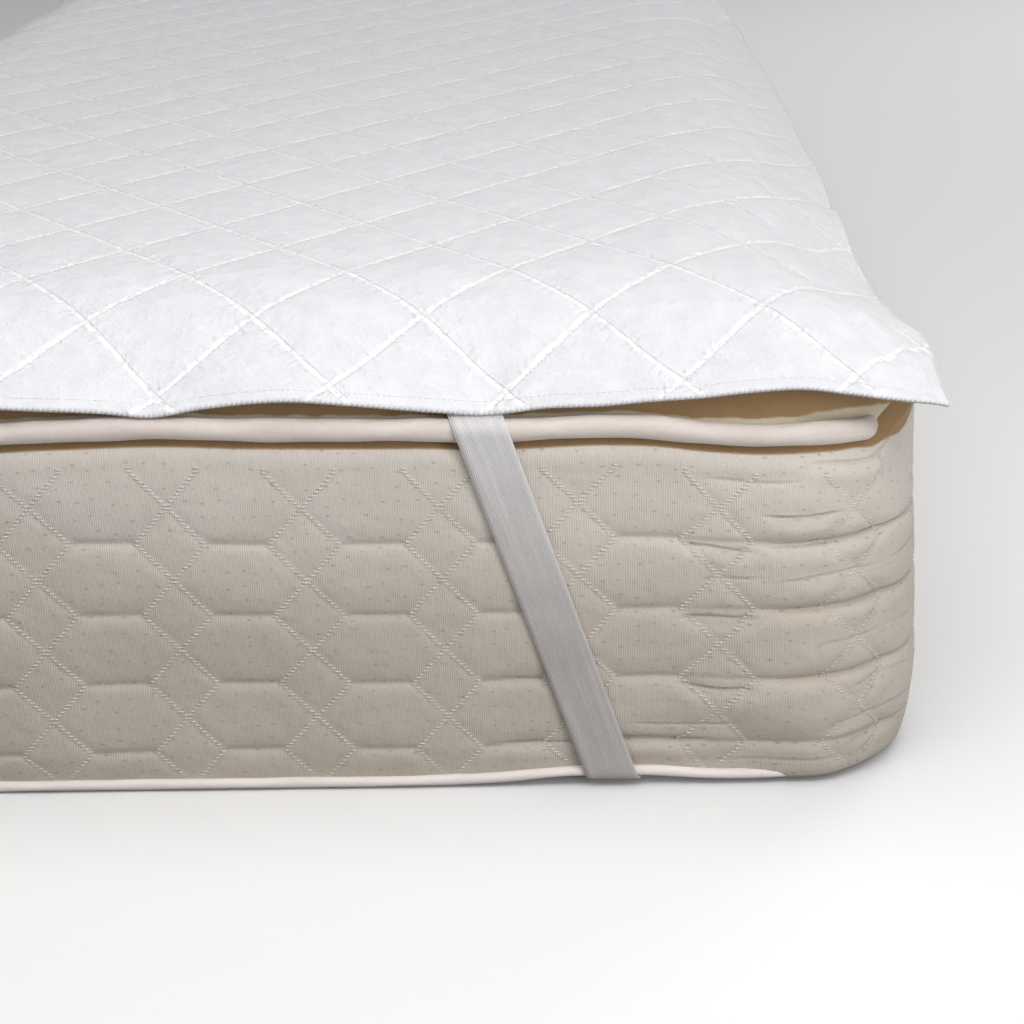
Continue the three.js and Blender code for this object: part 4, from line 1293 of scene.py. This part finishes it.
def make_hem_stitches():
    """Overlocking round the raw edge, and one line of stitches just inside it."""
    flat, way = hem_walk(0.05, HEM_WRAP_PITCH)
    point, along_u, along_v, outward, _ = cover_frame(flat[:, 0], flat[:, 1])
    along = unit(along_u * way[:, :1] + along_v * way[:, 1:])
    out = unit(np.cross(along, outward))
    middle = point - outward * (HEM_THICKNESS / 2 - 0.25) + out * 0.05
    wraps = sew_many(middle, outward * 0.92 + along * 0.38, out, HEM_WRAP)
    flat, way = hem_walk(HEM_SEAM_INSIDE, HEM_STITCH_PITCH)
    point, along_u, along_v, outward, _ = cover_frame(flat[:, 0], flat[:, 1])
    along = along_u * way[:, :1] + along_v * way[:, 1:]
    seam = sew_many(point + outward * HEM_STITCH_LIFT, along, outward, HEM_STITCH)
    work = bmesh.new()
    work.from_mesh(wraps)
    work.from_mesh(seam)
    work.to_mesh(wraps)
    work.free()
    return make_piece("hem_stitches", wraps, [WHITE_THREAD])


# ---- elastic bands ----

def bend_round(radius, height, from_angle, to_angle, steps):
    """Places where a band bends round a piping."""
    angle = np.radians(np.linspace(from_angle, to_angle, steps))
    reach = radius + BAND_TOUCH + BAND_THICKNESS / 2
    return np.stack([-reach * np.cos(angle), height - reach * np.sin(angle)], axis=-1)


def band_leg(sewn_end):
    """One leg of a band: each section's distance from the corner, inset, height, and how far it faces
    outwards and upwards, then the leg's half width along the edge."""
    top = TOP_PIPING_HEIGHT + smooth_value(TOP_PIPING_WAVE, BAND_TOP)
    bottom = BOTTOM_PIPING_HEIGHT + smooth_value(BOTTOM_LIFT, BAND_BOTTOM)
    over = bend_round(TOP_PIPING_RADIUS, top, from_angle=-62, to_angle=8, steps=13)
    under = bend_round(BOTTOM_PIPING_RADIUS, bottom, from_angle=0, to_angle=90, steps=11)
    profile = np.concatenate([sewn_end, over, under, BAND_UNDERNEATH])
    steps = np.hypot(*np.diff(profile, axis=0).T)
    run = np.concatenate([[0], np.cumsum(steps)])
    slants_from = 4
    at_top = run[len(sewn_end) + slants_from]
    at_bottom = run[len(sewn_end) + len(over)]
    slant = (BAND_TOP - BAND_BOTTOM) / (at_bottom - at_top)
    edge = BAND_TOP - (run - at_top) * slant
    heading = unit(np.gradient(profile, run, axis=0))
    half_wide = BAND_WIDTH / 2 * math.hypot(1, slant)
    return edge, profile[:, 0], profile[:, 1], -heading[:, 1], -heading[:, 0], half_wide


def band_sections():
    """The band at the corner right of the foot: its sections' middles, half widths and outward ways."""
    edge, inset, height, face_out, face_up, half_wide = band_leg(BAND_OVER_FRONT_EDGE)
    nothing = np.zeros_like(edge)
    foot = [
        np.stack([HALF_WIDTH - edge, HALF_LENGTH - inset, height], axis=-1),
        np.tile([half_wide, 0, 0], (len(edge), 1)),
        np.stack([nothing, face_out, face_up], axis=-1),
    ]
    edge, inset, height, face_out, face_up, half_wide = band_leg(BAND_OVER_SIDE_EDGE)
    nothing = np.zeros_like(edge)
    side = [
        np.stack([HALF_WIDTH - inset, HALF_LENGTH - edge, height], axis=-1)[::-1],
        np.tile([0, half_wide, 0], (len(edge), 1)),
        np.stack([face_out, nothing, face_up], axis=-1)[::-1],
    ]
    start = foot[0][-1]
    end = side[0][0]
    shares = np.linspace(0.06, 0.94, 9)[:, None]
    middle = start + (end - start) * shares
    middle[:, 2] = BAND_THICKNESS / 2 + BAND_OVER_FLOOR
    across = [
        middle,
        np.tile(np.array([1, 1, 0]) / math.sqrt(2) * BAND_WIDTH / 2, (len(shares), 1)),
        np.tile([0.0, 0.0, -1.0], (len(shares), 1)),
    ]
    return [np.concatenate(parts) for parts in zip(foot, across, side)]


def make_band(name, replaces, sign_x, sign_y):
    middles, wides, faces = band_sections()
    run = np.concatenate([[0], np.cumsum(np.linalg.norm(np.diff(middles, axis=0), axis=1))])
    steps = int(run[-1] / BAND_GRID_STEP)
    stations = np.linspace(0, run[-1], steps + 1)
    mesh, column, row = cut_cloth(BAND_COLUMNS, steps)
    at = stations[row]
    share = column / BAND_COLUMNS * 2 - 1

    def at_stations(values):
        return np.stack([np.interp(at, run, values[:, axis]) for axis in range(3)], axis=-1)

    cupped = BAND_CUP * (1 - share ** 2)
    points = at_stations(middles) + at_stations(wides) * share[:, None]
    points = points + unit(at_stations(faces)) * cupped[:, None]
    points = points * np.array([sign_x, sign_y, 1])
    bend_cloth(mesh, points, np.stack([share * BAND_WIDTH / 2, at], axis=-1))
    work = bmesh.new()
    work.from_mesh(mesh)
    facing_out = unit(faces[:1] * np.array([sign_x, sign_y, 1]))[0]
    work.faces.ensure_lookup_table()
    work.normal_update()
    if np.dot(work.faces[BAND_COLUMNS // 2].normal[:], facing_out) < 0:
        bmesh.ops.reverse_faces(work, faces=work.faces)
    work.to_mesh(mesh)
    work.free()
    band = make_piece(name, mesh, [WOVEN_ELASTIC], replaces=[replaces])
    web = band.modifiers.new("web", "SOLIDIFY")
    web.thickness = BAND_THICKNESS * MM
    web.offset = 0
    return band


# ---- the whole object ----

mattress_cover = make_mattress_cover()
make_border_stitches()
make_pipings()
quilted_cover = make_quilted_cover()
quilting_stitches = make_quilting_stitches()
hem_stitches = make_hem_stitches()
for band_name, side_x, side_y in (
    ("front_right", 1, -1), ("front_left", -1, -1), ("back_right", 1, 1), ("back_left", -1, 1),
):
    make_band("elastic_" + band_name, "band_" + band_name, side_x, side_y)


# ---- floor and light ----

def make_floor():
    work = bmesh.new()
    bmesh.ops.create_grid(work, x_segments=1, y_segments=1, size=20.0)
    mesh = bpy.data.meshes.new("floor")
    work.to_mesh(mesh)
    work.free()
    floor = bpy.data.objects.new("floor", mesh)
    floor.location.z = -0.0004
    material = bpy.data.materials.new("floor_paint")
    material.use_nodes = True
    surface = material.node_tree.nodes["Principled BSDF"]
    surface.inputs["Roughness"].default_value = 0.9
    light_path = add_node(material.node_tree, "ShaderNodeLightPath")
    bounced = light_path.outputs["Is Diffuse Ray"]
    tone = mix_colours(material.node_tree, bounced, (0.92, 0.92, 0.92, 1), (0.30, 0.30, 0.30, 1))
    wire(material.node_tree, surface.inputs["Base Color"], tone)
    mesh.materials.append(material)
    bpy.context.collection.objects.link(floor)


def add_softbox(name, place, aim, size, power):
    lamp = bpy.data.lights.new(name, "AREA")
    lamp.shape = "RECTANGLE"
    lamp.size, lamp.size_y = size
    lamp.energy = power
    holder = bpy.data.objects.new(name, lamp)
    holder.location = place
    away = holder.location - Matrix.Translation(aim).to_translation()
    holder.rotation_euler = away.to_track_quat("Z", "Y").to_euler()
    bpy.context.collection.objects.link(holder)


make_floor()
add_softbox("key_softbox", (0.1, -1.5, 1.05), (0.1, -0.97, 0.2), (1.6, 0.35), 5.8)
add_softbox("front_softbox", (1.0, -2.6, 1.5), (0.35, -0.9, 0.15), (1.6, 1.4), 7)
add_softbox("right_softbox", (1.4, -2.0, 0.35), (0.42, -0.9, 0.06), (0.6, 0.6), 7.5)
add_softbox("overhead_softbox", (0.0, -0.7, 2.6), (0, 0.2, 0.25), (2.4, 1.8), 22)
add_softbox("background_softbox", (2.3, 2.2, 2.2), (1.0, 1.0, 0), (1.6, 1.6), 30)
world = bpy.data.worlds.new("studio")
world.use_nodes = True
world.node_tree.nodes["Background"].inputs["Color"].default_value = (1, 1, 1, 1)
world.node_tree.nodes["Background"].inputs["Strength"].default_value = 0.3
bpy.context.scene.world = world
bpy.context.scene.view_settings.view_transform = "Standard"
